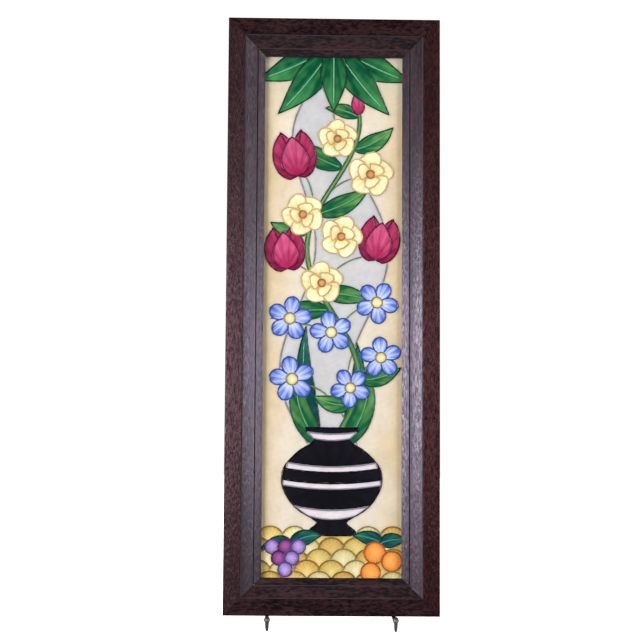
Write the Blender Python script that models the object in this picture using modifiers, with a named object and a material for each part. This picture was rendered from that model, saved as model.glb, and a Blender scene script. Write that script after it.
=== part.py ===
"""Framed ceramic plaque with raised slip lines, standing on a bent wire display easel.

Metres, +Z up. The picture faces -Y and leans back. The origin lies on the floor, under the middle
of the whole object's box.
"""

import math

import bmesh
import bpy
import numpy as np
from mathutils import Matrix, Vector
from mathutils.geometry import delaunay_2d_cdt

MM = 0.001
FIT_GAP = 0.3 * MM

# Opening of the frame, between the lips
SIGHT_WIDTH = 100.0 * MM
SIGHT_HEIGHT = 378.0 * MM

# Frame moulding
RAIL_WIDTH = 27.0 * MM
RAIL_DEPTH = 22.0 * MM
REBATE_WIDTH = 5.5 * MM
OUTER_BAND_WIDTH = 12.3 * MM
OUTER_BAND_ROUNDING = 1.0 * MM
BAND_STEP = 1.6 * MM
BAND_STEP_RUN = 0.5 * MM
COVE_FALL = 3.5 * MM
COVE_HOLLOW = 0.9 * MM
LIP_WIDTH = 5.0 * MM
LIP_THICKNESS = 2.2 * MM
LIP_CROWN = 0.35 * MM
GROOVE_WIDTH = 0.8 * MM
GROOVE_DEPTH = 0.7 * MM
BACK_CHAMFER = 0.6 * MM
ROUNDING_FACETS = 4
COVE_FACETS = 7
LIP_FACETS = 5

# Ceramic slab and its raised lines
PLAQUE_THICKNESS = 8.0 * MM
PLAQUE_CLEARANCE = 0.7 * MM
LINE_HEIGHT = 0.8 * MM
LINE_WIDTH = 1.5 * MM
WELD_DISTANCE = 0.04 * MM
RIDGE_CROWDING = 0.8

# Board, clips, screws and hanger on the back
BOARD_THICKNESS = 3.2 * MM
BOARD_CHAMFER = 0.3 * MM
CLIP_LENGTH = 17.0 * MM
CLIP_WIDTH = 10.0 * MM
CLIP_THICKNESS = 1.0 * MM
CLIP_LAP = 4.0 * MM
CLIP_FROM_CORNER = 70.0 * MM
CLIP_FACETS = 6
SCREW_HEAD_DIAMETER = 6.0 * MM
SCREW_HEAD_HEIGHT = 1.8 * MM
SCREW_SHANK_DIAMETER = 2.6 * MM
SCREW_LENGTH = 9.0 * MM
HANGER_LENGTH = 45.0 * MM
HANGER_WIDTH = 8.0 * MM
HANGER_THICKNESS = 0.9 * MM
HANGER_RISE = 1.8 * MM
HANGER_PAD = 8.0 * MM
HANGER_SLOPE = 3.0 * MM
HANGER_TOOTH_WIDTH = 2.6 * MM
HANGER_TOOTH_DEPTH = 1.6 * MM
NAIL_HEAD_DIAMETER = 4.0 * MM
NAIL_HEAD_HEIGHT = 1.0 * MM
NAIL_SHANK_DIAMETER = 1.6 * MM
NAIL_LENGTH = 8.0 * MM
HEAD_FACETS = 3
ROUND_SIDES = 10

# Wire easel
LEAN = math.radians(12.0)
WIRE_DIAMETER = 2.8 * MM
KNUCKLE_DIAMETER = 4.4 * MM
FOOT_DIAMETER = 2.5 * MM
FOOT_TIP_DIAMETER = 1.8 * MM
FOOT_TIP_TAPER = 2.6 * MM
LEG_FROM_CLIP = 4.6 * MM
LEDGE_BEND = 3.0 * MM
KNUCKLE_BEND = 2.6 * MM
FLOOR_GAP = 5.8 * MM
UPRIGHT_HEIGHT = 190.0 * MM
UPPER_BAR_HEIGHT = 150.0 * MM
STRUT_LAP = 14.0 * MM
STRUT_REACH = 78.0 * MM
STRUT_BEND = 8.0 * MM
STRUT_FOOT = 11.0 * MM
LOWER_BAR_HEIGHT = 30.0 * MM
BEND_FACETS = 5

# Worked out from the sizes above
FRAME_WIDTH = SIGHT_WIDTH + 2 * RAIL_WIDTH
FRAME_HEIGHT = SIGHT_HEIGHT + 2 * RAIL_WIDTH
REBATE_DEPTH = BOARD_THICKNESS + FIT_GAP + PLAQUE_THICKNESS + LINE_HEIGHT + FIT_GAP
PLAQUE_OVERLAP = REBATE_WIDTH - PLAQUE_CLEARANCE
CLIP_INNER_END = SIGHT_WIDTH / 2 + REBATE_WIDTH - CLIP_LAP
WIRE_OFFSET = WIRE_DIAMETER / 2 + FIT_GAP
LEG_X = CLIP_INNER_END - LEG_FROM_CLIP - WIRE_DIAMETER / 2

# The drawing's own field, in its own units. It is stretched to the frame's opening
FIELD_WIDTH = 100.0
FIELD_HEIGHT = 378.0
STEM_FOOT = 96.0
STEM_TOP = 338.0
STEM_SWING = 19.0
STEM_WAVE = 188.0


def clear_scene():
    for thing in list(bpy.data.objects):
        bpy.data.objects.remove(thing, do_unlink=True)


def new_collection(name):
    collection = bpy.data.collections.new(name)
    bpy.context.scene.collection.children.link(collection)


def material(name, colour, roughness, metallic=0.0):
    made = bpy.data.materials.new(name)
    made.use_nodes = True
    shader = made.node_tree.nodes["Principled BSDF"]
    shader.inputs["Base Color"].default_value = (*colour, 1.0)
    shader.inputs["Roughness"].default_value = roughness
    shader.inputs["Metallic"].default_value = metallic


def add_object(name, mesh, finish, parent=None, location=(0, 0, 0), collection="framed_ceramic_plaque"):
    thing = bpy.data.objects.new(name, mesh)
    bpy.data.collections[collection].objects.link(thing)
    thing.location = location
    thing.parent = parent
    if finish:
        mesh.materials.clear()
        mesh.materials.append(bpy.data.materials[finish])
    return thing


def flat_outline_mesh(name, outline, length):
    """Prism of a closed outline in X and Y, extruded evenly either way along Z."""
    curve = bpy.data.curves.new(name, "CURVE")
    curve.dimensions = "2D"
    curve.fill_mode = "BOTH"
    curve.extrude = length / 2
    spline = curve.splines.new("POLY")
    spline.points.add(len(outline) - 1)
    for point, (x, y) in zip(spline.points, outline):
        point.co = (x, y, 0, 1)
    spline.use_cyclic_u = True
    return mesh_from_curve(name, curve)


def mesh_from_curve(name, curve):
    """Closed mesh of a curve, with the loose caps welded on."""
    guide = bpy.data.objects.new(name + "_guide", curve)
    bpy.context.scene.collection.objects.link(guide)
    evaluated = guide.evaluated_get(bpy.context.evaluated_depsgraph_get())
    mesh = bpy.data.meshes.new_from_object(evaluated)
    bpy.data.objects.remove(guide, do_unlink=True)
    shape = bmesh.new()
    shape.from_mesh(mesh)
    bmesh.ops.remove_doubles(shape, verts=shape.verts, dist=0.001 * MM)
    bmesh.ops.recalc_face_normals(shape, faces=shape.faces)
    shape.to_mesh(mesh)
    shape.free()
    mesh.name = name
    return mesh


def arc(centre, radius, start, end, steps):
    """Points of a round stretch, angles in degrees."""
    turns = [math.radians(start + (end - start) * i / steps) for i in range(steps + 1)]
    return [(centre[0] + radius * math.cos(turn), centre[1] + radius * math.sin(turn)) for turn in turns]


def moulding_profile():
    """Section of the moulding: x inward from the frame's outer side, y forward from its back."""
    cove_start = OUTER_BAND_WIDTH + BAND_STEP_RUN
    cove_end = RAIL_WIDTH - LIP_WIDTH - GROOVE_WIDTH
    cove_top = RAIL_DEPTH - BAND_STEP
    cove_foot = cove_top - COVE_FALL
    lip_front = REBATE_DEPTH + LIP_THICKNESS
    profile = [(0, BACK_CHAMFER)]
    edge = RAIL_DEPTH - OUTER_BAND_ROUNDING
    for x, start, end in ((OUTER_BAND_ROUNDING, 180, 90), (OUTER_BAND_WIDTH - OUTER_BAND_ROUNDING, 90, 0)):
        profile += arc((x, edge), OUTER_BAND_ROUNDING, start, end, ROUNDING_FACETS)
    for i in range(COVE_FACETS + 1):
        share = i / COVE_FACETS
        dip = COVE_HOLLOW * 4 * share * (1 - share)
        profile.append((cove_start + (cove_end - cove_start) * share, cove_top - COVE_FALL * share - dip))
    profile += [(cove_end, cove_foot - GROOVE_DEPTH), (cove_end + GROOVE_WIDTH, cove_foot - GROOVE_DEPTH)]
    for i in range(LIP_FACETS + 1):
        share = i / LIP_FACETS
        swell = LIP_CROWN * 4 * share * (1 - share)
        profile.append((cove_end + GROOVE_WIDTH + LIP_WIDTH * share,
                        cove_foot + (lip_front - cove_foot) * share + swell))
    profile += [(RAIL_WIDTH, REBATE_DEPTH), (RAIL_WIDTH - REBATE_WIDTH, REBATE_DEPTH),
                (RAIL_WIDTH - REBATE_WIDTH, 0), (BACK_CHAMFER, 0)]
    return profile


def rail_mesh(name, length):
    """Moulding along X with its outer side down and its front at -Y, both ends mitred."""
    mesh = flat_outline_mesh(name, moulding_profile(), length)
    mitre_clearance = FIT_GAP / 2 * math.sqrt(2)
    for vertex in mesh.vertices:
        inward, forward, along = vertex.co
        along -= math.copysign(inward + mitre_clearance, along)
        vertex.co = (along, -forward, inward)
    mesh.update()
    return mesh


def add_frame(tilt):
    half_width = FRAME_WIDTH / 2
    half_height = FRAME_HEIGHT / 2
    places = (("frame_bottom_rail", FRAME_WIDTH, (0, 0, 0), 0),
              ("frame_right_stile", FRAME_HEIGHT, (half_width, 0, half_height), -90),
              ("frame_top_rail", FRAME_WIDTH, (0, 0, FRAME_HEIGHT), 180),
              ("frame_left_stile", FRAME_HEIGHT, (-half_width, 0, half_height), 90))
    for name, length, place, turn in places:
        rail = add_object(name, rail_mesh(name, length), "stained_open_grain_wood", tilt, place)
        rail.rotation_euler.y = math.radians(turn)


def cut(thing, cutter):
    """Cuts a hole in an object. The cutter stays in the file as a wire."""
    cutter.hide_render = True
    cutter.display_type = "WIRE"
    hole = thing.modifiers.new("hole", "BOOLEAN")
    hole.operation = "DIFFERENCE"
    hole.solver = "EXACT"
    hole.object = cutter


def hole_cutter(name, diameter, depth, tilt, x, y, z):
    """Round cutter along Y whose middle lies at the place given."""
    shape = bmesh.new()
    bmesh.ops.create_cone(shape, cap_ends=True, segments=ROUND_SIDES, radius1=diameter / 2,
                          radius2=diameter / 2, depth=depth, matrix=Matrix.Rotation(math.radians(90), 4, "X"))
    mesh = bpy.data.meshes.new(name)
    shape.to_mesh(mesh)
    shape.free()
    return add_object(name, mesh, None, tilt, (x, y, z), "cutters")


def fastener_mesh(name, head_diameter, head_height, shank_diameter, length):
    """Domed head with its flat underside at y = 0 and its shank pointing to -Y."""
    head = head_diameter / 2
    shank = shank_diameter / 2
    turns = [math.pi / 2 * i / HEAD_FACETS for i in range(HEAD_FACETS + 1)]
    profile = [(head * math.sin(turn), head_height * math.cos(turn)) for turn in turns]
    profile += [(shank, 0), (shank, -length + shank), (0, -length)]
    mesh = bpy.data.meshes.new(name)
    shape = bmesh.new()
    points = [shape.verts.new((x, 0, z)) for x, z in profile]
    edges = [shape.edges.new(pair) for pair in zip(points, points[1:])]
    bmesh.ops.spin(shape, geom=points + edges, axis=(0, 0, 1), cent=(0, 0, 0), angle=2 * math.pi,
                   steps=ROUND_SIDES, use_duplicate=False)
    bmesh.ops.remove_doubles(shape, verts=shape.verts, dist=0.001 * MM)
    bmesh.ops.rotate(shape, verts=shape.verts, cent=(0, 0, 0),
                     matrix=Matrix.Rotation(math.radians(-90), 3, "X"))
    bmesh.ops.recalc_face_normals(shape, faces=shape.faces)
    shape.to_mesh(mesh)
    shape.free()
    mesh.shade_smooth()
    mesh.set_sharp_from_angle(angle=math.radians(35))
    return mesh


def add_board(tilt):
    bpy.ops.mesh.primitive_cube_add(size=1)
    board = bpy.context.object
    board.name = "backing_board"
    for collection in list(board.users_collection):
        collection.objects.unlink(board)
    bpy.data.collections["framed_ceramic_plaque"].objects.link(board)
    room = 2 * (REBATE_WIDTH - FIT_GAP)
    for vertex in board.data.vertices:
        vertex.co = Vector((vertex.co.x * (SIGHT_WIDTH + room), vertex.co.y * BOARD_THICKNESS,
                            vertex.co.z * (SIGHT_HEIGHT + room)))
    board.parent = tilt
    board.location = (0, -BOARD_THICKNESS / 2, FRAME_HEIGHT / 2)
    board.data.materials.append(bpy.data.materials["hardboard"])
    edge = board.modifiers.new("edge", "BEVEL")
    edge.width = BOARD_CHAMFER
    edge.segments = 1


def add_screwed_hole(thing, wood, name, kind, x, z, tilt):
    """Screw or nail through a plate into the wood, with the hole in each."""
    head_diameter, head_height, shank_diameter, length, plate_thickness = kind
    bore = shank_diameter + 2 * FIT_GAP
    seat = FIT_GAP + plate_thickness + FIT_GAP
    mesh = fastener_mesh(name, head_diameter, head_height, shank_diameter, length)
    add_object(name, mesh, "zinc_plated_steel", tilt, (x, seat, z))
    cut(thing, hole_cutter(name + "_hole", bore, 4 * plate_thickness, tilt, x, FIT_GAP, z))
    cut(bpy.data.objects[wood], hole_cutter(name + "_pilot", bore, 2 * length, tilt, x, 0, z))


def add_clips(tilt):
    """Four fixed plates on the stiles, each lapping the board and held by one screw."""
    kind = (SCREW_HEAD_DIAMETER, SCREW_HEAD_HEIGHT, SCREW_SHANK_DIAMETER, SCREW_LENGTH, CLIP_THICKNESS)
    straight = (CLIP_LENGTH - CLIP_WIDTH) / 2
    outline = arc((straight, 0), CLIP_WIDTH / 2, -90, 90, CLIP_FACETS)
    outline += arc((-straight, 0), CLIP_WIDTH / 2, 90, 270, CLIP_FACETS)
    number = 0
    for side, stile in ((-1, "frame_left_stile"), (1, "frame_right_stile")):
        for z in (RAIL_WIDTH + CLIP_FROM_CORNER, FRAME_HEIGHT - RAIL_WIDTH - CLIP_FROM_CORNER):
            number += 1
            x = side * (CLIP_INNER_END + CLIP_LENGTH / 2)
            name = "retaining_clip_%d" % number
            clip = add_object(name, flat_outline_mesh(name, outline, CLIP_THICKNESS), "zinc_plated_steel", tilt,
                              (x, FIT_GAP + CLIP_THICKNESS / 2, z))
            clip.rotation_euler.x = math.radians(90)
            add_screwed_hole(clip, stile, "clip_screw_%d" % number, kind, x + side * straight, z, tilt)


def add_hanger(tilt):
    """Toothed steel strip on the top rail's back, bowed off the wood in its middle, with a nail at each end."""
    kind = (NAIL_HEAD_DIAMETER, NAIL_HEAD_HEIGHT, NAIL_SHANK_DIAMETER, NAIL_LENGTH, HANGER_THICKNESS)
    half = HANGER_LENGTH / 2
    pad_end = half - HANGER_PAD
    bow_end = pad_end - HANGER_SLOPE
    bowed = FIT_GAP + HANGER_RISE
    outline = [(-half, FIT_GAP), (-pad_end, FIT_GAP), (-bow_end, bowed),
               (bow_end, bowed), (pad_end, FIT_GAP), (half, FIT_GAP)]
    outline += [(x, y + HANGER_THICKNESS) for x, y in reversed(outline)]
    z = FRAME_HEIGHT - RAIL_WIDTH / 2
    mesh = flat_outline_mesh("sawtooth_hanger", outline, HANGER_WIDTH)
    hanger = add_object("sawtooth_hanger", mesh, "zinc_plated_steel", tilt, (0, 0, z))
    teeth = round(2 * bow_end / HANGER_TOOTH_WIDTH)
    pitch = 2 * bow_end / teeth
    edge = -HANGER_WIDTH / 2
    saw = [(-bow_end, edge - HANGER_THICKNESS)]
    for i in range(teeth):
        left = -bow_end + pitch * i
        saw += [(left + pitch / 2, edge + HANGER_TOOTH_DEPTH), (left + pitch, edge - HANGER_THICKNESS)]
    saw_mesh = flat_outline_mesh("hanger_teeth_cutter", saw, 4 * (bowed + HANGER_THICKNESS))
    saw_cutter = add_object("hanger_teeth_cutter", saw_mesh, None, tilt, (0, 0, z), "cutters")
    saw_cutter.rotation_euler.x = math.radians(90)
    cut(hanger, saw_cutter)
    for number, side in ((1, -1), (2, 1)):
        x = side * (half - HANGER_PAD / 2)
        add_screwed_hole(hanger, "frame_top_rail", "hanger_nail_%d" % number, kind, x, z, tilt)


def rounded_path(corners, bends):
    """Points of a bent wire through corners in a plane, each inner corner turned on its own radius."""
    points = [Vector(corners[0])]
    for i, bend in enumerate(bends, start=1):
        corner = Vector(corners[i])
        inward = (Vector(corners[i - 1]) - corner).normalized()
        outward = (Vector(corners[i + 1]) - corner).normalized()
        turn = math.pi - inward.angle(outward)
        reach = bend * math.tan(turn / 2)
        centre = corner + (inward + outward).normalized() * (bend / math.cos(turn / 2))
        start = corner + inward * reach - centre
        end = corner + outward * reach - centre
        for k in range(BEND_FACETS + 1):
            share = k / BEND_FACETS
            swung = (start * math.sin((1 - share) * turn) + end * math.sin(share * turn)) / math.sin(turn)
            points.append(centre + swung)
    points.append(Vector(corners[-1]))
    return points


def add_wire(name, points, thicknesses, root, place):
    """Round wire along points, with its thickness at each."""
    curve = bpy.data.curves.new(name, "CURVE")
    curve.dimensions = "3D"
    curve.bevel_depth = WIRE_DIAMETER / 2
    curve.bevel_resolution = 2
    curve.use_fill_caps = True
    spline = curve.splines.new("POLY")
    spline.points.add(len(points) - 1)
    for control, point, thickness in zip(spline.points, points, thicknesses):
        control.co = (*point, 1)
        control.radius = thickness / WIRE_DIAMETER
    mesh = mesh_from_curve(name, curve)
    mesh.shade_smooth()
    mesh.set_sharp_from_angle(angle=math.radians(40))
    add_object(name, mesh, "easel_wire", root, place)


def tilted(y, z):
    """Place in the easel's upright frame of a point given along the leaning picture's back."""
    return Vector((y * math.cos(LEAN) + z * math.sin(LEAN),
                   FLOOR_GAP - y * math.sin(LEAN) + z * math.cos(LEAN)))


def leg_points():
    """Side view of a leg: foot tip, knuckle in front of the frame, ledge under it, upright behind it."""
    knuckle = tilted(-RAIL_DEPTH - FIT_GAP - KNUCKLE_DIAMETER / 2, -WIRE_OFFSET)
    heel = tilted(LEDGE_BEND, -WIRE_OFFSET)
    top = tilted(WIRE_OFFSET, UPRIGHT_HEIGHT)
    corners = [Vector((knuckle.x, 0)), knuckle, heel, top]
    path = rounded_path(corners, (KNUCKLE_BEND, LEDGE_BEND))
    taper_top = Vector((knuckle.x, FOOT_TIP_TAPER))
    points = [path[0], taper_top] + path[1:]
    thicknesses = [FOOT_TIP_DIAMETER, FOOT_DIAMETER]
    for i in range(BEND_FACETS + 1):
        swell = math.sin(math.pi * i / BEND_FACETS)
        thicknesses.append(WIRE_DIAMETER + (KNUCKLE_DIAMETER - WIRE_DIAMETER) * swell)
    thicknesses += [WIRE_DIAMETER] * (len(points) - len(thicknesses))
    return points, thicknesses


def strut_points():
    """Side view of a rear strut: lapped behind the upright, then down and back to the floor."""
    behind = WIRE_OFFSET + WIRE_DIAMETER + FIT_GAP
    top = tilted(behind, UPRIGHT_HEIGHT)
    knee = tilted(behind, UPRIGHT_HEIGHT - STRUT_LAP)
    foot = Vector((top.x + STRUT_REACH, 0))
    ankle = Vector((foot.x, STRUT_FOOT))
    return rounded_path([top, knee, ankle, foot], (STRUT_BEND, STRUT_BEND))


def add_cross_bar(name, place, root):
    half = LEG_X - WIRE_OFFSET
    add_wire(name, [(-half, 0, 0), (half, 0, 0)], [WIRE_DIAMETER] * 2, root, (0, place.x, place.y))


def add_easel(root):
    leg, leg_thickness = leg_points()
    strut = strut_points()
    strut_thickness = [WIRE_DIAMETER] * len(strut)
    for side, word in ((-1, "left"), (1, "right")):
        place = (side * LEG_X, 0, 0)
        add_wire("easel_%s_leg" % word, [(0, *point) for point in leg], leg_thickness, root, place)
        add_wire("easel_%s_strut" % word, [(0, *point) for point in strut], strut_thickness, root, place)
    upper = leg[-2].lerp(leg[-1], UPPER_BAR_HEIGHT / UPRIGHT_HEIGHT)
    add_cross_bar("easel_upper_bar", upper, root)
    for start, end in zip(strut, strut[1:]):
        if end.y <= LOWER_BAR_HEIGHT < start.y:
            lower = start.lerp(end, (start.y - LOWER_BAR_HEIGHT) / (start.y - end.y))
            add_cross_bar("easel_lower_bar", lower, root)


# A figure of the drawing is a closed outline with its inner lines. Later figures lie over earlier ones.

def figure(outline, ribs=()):
    return {"outline": outline, "ribs": list(ribs)}


def stalk(x, z, angle, length, bend, steps):
    """Points of a line that starts at an angle above +X and turns steadily by the bend, in degrees."""
    points = [(x, z)]
    for i in range(steps):
        heading = math.radians(angle + bend * (i + 0.5) / steps)
        x += length / steps * math.cos(heading)
        z += length / steps * math.sin(heading)
        points.append((x, z))
    return points


def blade(x, z, angle, length, width, bend=0.0, belly=0.8, blunt=1.0, rib=0.85, steps=16):
    """Leaf or petal: its belly sets where it is widest, a low blunt makes it rounder at the ends."""
    middle = stalk(x, z, angle, length, bend, steps)
    left = []
    right = []
    for i, (px, pz) in enumerate(middle):
        share = i / steps
        half = 0.5 * width * abs(math.sin(math.pi * share ** belly)) ** blunt
        heading = math.radians(angle + bend * share)
        left.append((px - half * math.sin(heading), pz + half * math.cos(heading)))
        right.append((px + half * math.sin(heading), pz - half * math.cos(heading)))
    ribs = [middle[1:1 + round(rib * steps)]] if rib else []
    return figure(left + right[-2:0:-1], ribs)


def disc(x, z, radius, steps=20):
    turns = [2 * math.pi * i / steps for i in range(steps)]
    return figure([(x + radius * math.cos(turn), z + radius * math.sin(turn)) for turn in turns])


def flower(x, z, radius, turn, petals=5):
    ring = [blade(x, z, turn + 360.0 * i / petals, radius, radius * 3.4 / petals, belly=1.5, blunt=0.55, rib=0)
            for i in range(petals)]
    return ring + [disc(x, z, radius * 0.26, 12)]


def rose(x, z, radius, turn):
    petals = []
    for count, reach, width, shift, bend in ((5, 1.06, 1.05, 0.0, 34.0), (3, 0.62, 1.25, 20.0, 40.0)):
        for i in range(count):
            petals.append(blade(x, z, turn + shift + 360.0 * i / count, radius * reach, radius * reach * width,
                                bend, belly=1.65, blunt=0.5, rib=0))
    return petals + [disc(x, z, radius * 0.2, 12)]


def tulip(x, z, angle, height, width):
    cup = []
    for side in (-1, 1):
        cup.append(blade(x, z, angle + 13 * side, height * 0.96, width * 0.42, belly=0.75, blunt=0.8, rib=0))
    for side in (-1, 1):
        cup.append(blade(x, z, angle + 44 * side, height * 0.98, width * 0.46, -62.0 * side, belly=0.62,
                         blunt=0.8, rib=0))
    cup.append(blade(x, z, angle, height * 0.82, width * 0.56, belly=0.72, blunt=0.8, rib=0))
    return cup


def stem_x(z):
    return STEM_SWING * math.sin(2 * math.pi * (z - STEM_FOOT) / STEM_WAVE)


def stem(rows=60, half_foot=1.7, half_tip=1.1):
    left = []
    right = []
    for i in range(rows + 1):
        z = STEM_FOOT + (STEM_TOP - STEM_FOOT) * i / rows
        half = half_foot + (half_tip - half_foot) * i / rows
        lean = math.atan2(stem_x(z + 0.5) - stem_x(z - 0.5), 1.0)
        left.append((stem_x(z) - half * math.cos(lean), z + half * math.sin(lean)))
        right.append((stem_x(z) + half * math.cos(lean), z - half * math.sin(lean)))
    return figure(left + right[::-1])


def twig(z_start, x, z, sag=0.35, steps=12):
    """Thin stalk from the stem to a bloom, a single line."""
    start_x = stem_x(z_start)
    knee_x = start_x + (x - start_x) * sag
    line = []
    for i in range(steps + 1):
        t = i / steps
        line.append(((1 - t) ** 2 * start_x + 2 * t * (1 - t) * knee_x + t * t * x,
                     (1 - t) ** 2 * z_start + (1 - (1 - t) ** 2) * z))
    return figure([], [line])


def drift(low=58.0, high=356.0, half_width=27.0, rows=40):
    """Pale field behind the stem that sways against it."""
    left = []
    right = []
    for i in range(rows + 1):
        share = i / rows
        z = low + (high - low) * share
        middle = -0.72 * stem_x(z)
        half = half_width * math.sin(math.pi * share) ** 0.45
        left.append((middle - half, z))
        right.append((middle + half, z))
    return figure(left + right[-2:0:-1])


def cobbles(radius=9.6, pitch=17.5, row_step=8.0, rows=5, top=27.0):
    """Ground of overlapping round scales."""
    ground = []
    for row in range(rows):
        count = 6 + row % 2
        ground += [disc((i - 0.5 * (count - 1)) * pitch, top - row_step * row, radius, 22)
                   for i in range(count)]
    return ground


def urn_side():
    """Right side of the urn, a smooth curve through its turning points."""
    profile = ((15.5, 30.0), (17.0, 33.0), (11.0, 38.0), (12.0, 41.0), (26.0, 50.0), (35.0, 64.0), (34.5, 78.0),
               (24.0, 90.0), (14.5, 96.0), (13.5, 100.0), (18.5, 104.5), (19.0, 107.0))
    points = []
    for i in range(len(profile) - 1):
        around = (profile[max(i - 1, 0)], profile[i], profile[i + 1], profile[min(i + 2, len(profile) - 1)])
        for k in range(4):
            t = k / 4
            points.append(tuple(0.5 * (2 * b + (c - a) * t + (2 * a - 5 * b + 4 * c - d) * t * t
                                       + (3 * b - a - 3 * c + d) * t ** 3) for a, b, c, d in zip(*around)))
    points.append(profile[-1])
    return points


def urn():
    right = urn_side()
    return figure(right + [(-x, z) for x, z in reversed(right)])


def urn_half_width(z):
    half = 0.0
    side = urn_side()
    for (ax, az), (bx, bz) in zip(side, side[1:]):
        if min(az, bz) <= z <= max(az, bz) and az != bz:
            half = max(half, ax + (bx - ax) * (z - az) / (bz - az))
    return half


def urn_hoop(low, high, sag=3.0, steps=12):
    """Painted hoop of the urn, its two edges bowed down in the middle."""
    edges = []
    for z in (low, high):
        half = urn_half_width(z) - 0.05
        across = [2 * i / steps - 1 for i in range(steps + 1)]
        edges.append([(half * share, z - sag * (1 - share ** 2)) for share in across])
    return figure(edges[0] + edges[1][::-1])


def grapes(x, z, radius, rows=(3, 2, 1)):
    bunch = []
    for row, count in enumerate(rows):
        bunch += [disc(x + (i - 0.5 * (count - 1)) * radius * 1.8, z - row * radius * 1.55, radius, 14)
                  for i in range(count)]
    return bunch


def drawing():
    """All figures of the drawing, from the back to the front: x from the middle, z from the lower edge."""
    figures = [drift()] + cobbles()
    for side in (-1, 1):
        figures.append(blade(-8 * side, 90, 90 + 22 * side, 86 + 6 * side, 14, -30 * side))
        figures.append(blade(-4 * side, 92, 90 + 50 * side, 66, 15, -62 * side, belly=0.75))
    for z_start, x, z in ((112, -27, 139), (118, 15, 137), (134, 33, 156), (150, -2, 174), (168, -29, 182),
                          (180, 31, 196), (204, -32, 226), (206, 30, 232), (262, -24, 292), (268, 24, 290)):
        figures.append(twig(z_start, x, z))
    for z, angle, length, width, bend in ((124, 190, 30, 12, -44), (142, -4, 32, 12, 40),
                                          (192, 176, 44, 14, 24), (204, 4, 38, 13, -24),
                                          (252, 200, 30, 12, -56), (262, 14, 44, 14, 26),
                                          (296, 162, 46, 14, -22), (310, 10, 34, 13, 40),
                                          (334, 150, 26, 10, 30)):
        figures.append(blade(stem_x(z), z, angle, length, width, bend))
    figures.append(stem())
    figures.append(blade(stem_x(STEM_TOP), STEM_TOP - 2, 97, 17, 9, belly=0.7, blunt=0.8, rib=0))
    for x, z, angle, height, width in ((-26, 290, 99, 36, 36), (31, 229, 80, 34, 34), (-33, 222, 97, 33, 33)):
        figures += tulip(x, z, angle, height, width)
    for x, z, radius, turn in ((27, 292, 15.0, 10), (-22, 262, 14.0, 40), (6, 246, 14.0, 0),
                               (-8, 212, 14.0, 20), (3, 318, 13.0, 20)):
        figures += rose(x, z, radius, turn)
    for x, z, radius, turn in ((-31, 186, 16.0, 80), (32, 198, 15.5, 60), (-29, 142, 16.5, 100),
                               (35, 158, 15.0, 95), (-1, 176, 15.5, 30), (13, 136, 14.5, 50)):
        figures += flower(x, z, radius, turn)
    for angle, length, width in ((190, 52, 19), (350, 52, 19), (214, 62, 21), (326, 62, 21), (240, 66, 21),
                                 (300, 66, 21), (270, 50, 19)):
        bend = 16 * ((angle > 270) - (angle < 270))
        figures.append(blade(0, 388, angle, length, width, bend))
    figures.append(urn())
    for low, high, sag in ((66, 82, 3), (70, 78, 3), (44.5, 51, 3), (99.5, 104, 1.5)):
        figures.append(urn_hoop(low, high, sag))
    for x, z, angle, length, width, bend in ((-27, 24, 172, 24, 11, 34), (-30, 24, 30, 24, 11, -30)):
        figures.append(blade(x, z, angle, length, width, bend))
    figures += grapes(-33, 22, 5.2)
    for x, z, angle, length, width, bend in ((38, 24, 150, 24, 10, 30), (34, 24, 28, 20, 10, -40)):
        figures.append(blade(x, z, angle, length, width, bend))
    for x, z, radius in ((31, 18, 7.6), (43, 12, 7.2), (28, 4, 7.0)):
        figures.append(disc(x, z, radius))
    return figures


def inside(point, outline, box):
    x, z = point
    if x < box[0] or x > box[1] or z < box[2] or z > box[3]:
        return False
    crossings = False
    ax, az = outline[-1]
    for bx, bz in outline:
        if (az > z) != (bz > z) and x < ax + (bx - ax) * (z - az) / (bz - az):
            crossings = not crossings
        ax, az = bx, bz
    return crossings


def box_of(outline):
    xs = [x for x, z in outline]
    zs = [z for x, z in outline]
    return min(xs), max(xs), min(zs), max(zs)


def even_points(line, step):
    """The same line with a point at least every step."""
    points = [line[0]]
    for (ax, az), (bx, bz) in zip(line, line[1:]):
        count = max(1, math.ceil(math.hypot(bx - ax, bz - az) / step))
        points += [(ax + (bx - ax) * i / count, az + (bz - az) * i / count) for i in range(1, count + 1)]
    return points


def thinned(points, slack):
    """Fewest of the points whose straight links stay within the slack of the line."""
    if len(points) < 3:
        return points
    (ax, az), (bx, bz) = points[0], points[-1]
    size = math.hypot(bx - ax, bz - az)
    worst = 0.0
    place = len(points) // 2
    for i, (x, z) in enumerate(points[1:-1], start=1):
        if size > slack:
            off = abs((bx - ax) * (z - az) - (bz - az) * (x - ax)) / size
        else:
            off = math.hypot(x - ax, z - az)
        if off > worst:
            worst = off
            place = i
    if worst <= slack:
        return [points[0], points[-1]]
    return thinned(points[:place + 1], slack)[:-1] + thinned(points[place:], slack)


def visible_lines(figures, margin, step=0.7, slack=0.6, shortest=3.0):
    """Stretches of the figures' lines that no later figure covers, cut off a margin outside the field."""
    covers = [(item["outline"], box_of(item["outline"])) if item["outline"] else None for item in figures]
    runs = []
    for number, item in enumerate(figures):
        later = [cover for cover in covers[number + 1:] if cover]
        closed = item["outline"]
        lines = ([closed + closed[:1]] if closed else []) + item["ribs"]
        for line in lines:
            run = []
            for point in even_points(line, step) + [None]:
                shown = point is not None and abs(point[0]) < FIELD_WIDTH / 2 + margin
                shown = shown and -margin < point[1] < FIELD_HEIGHT + margin
                if shown and not any(inside(point, outline, box) for outline, box in later):
                    run.append(point)
                    continue
                if len(run) * step > shortest:
                    runs.append(thinned(run, slack))
                run = []
    return runs


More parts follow.
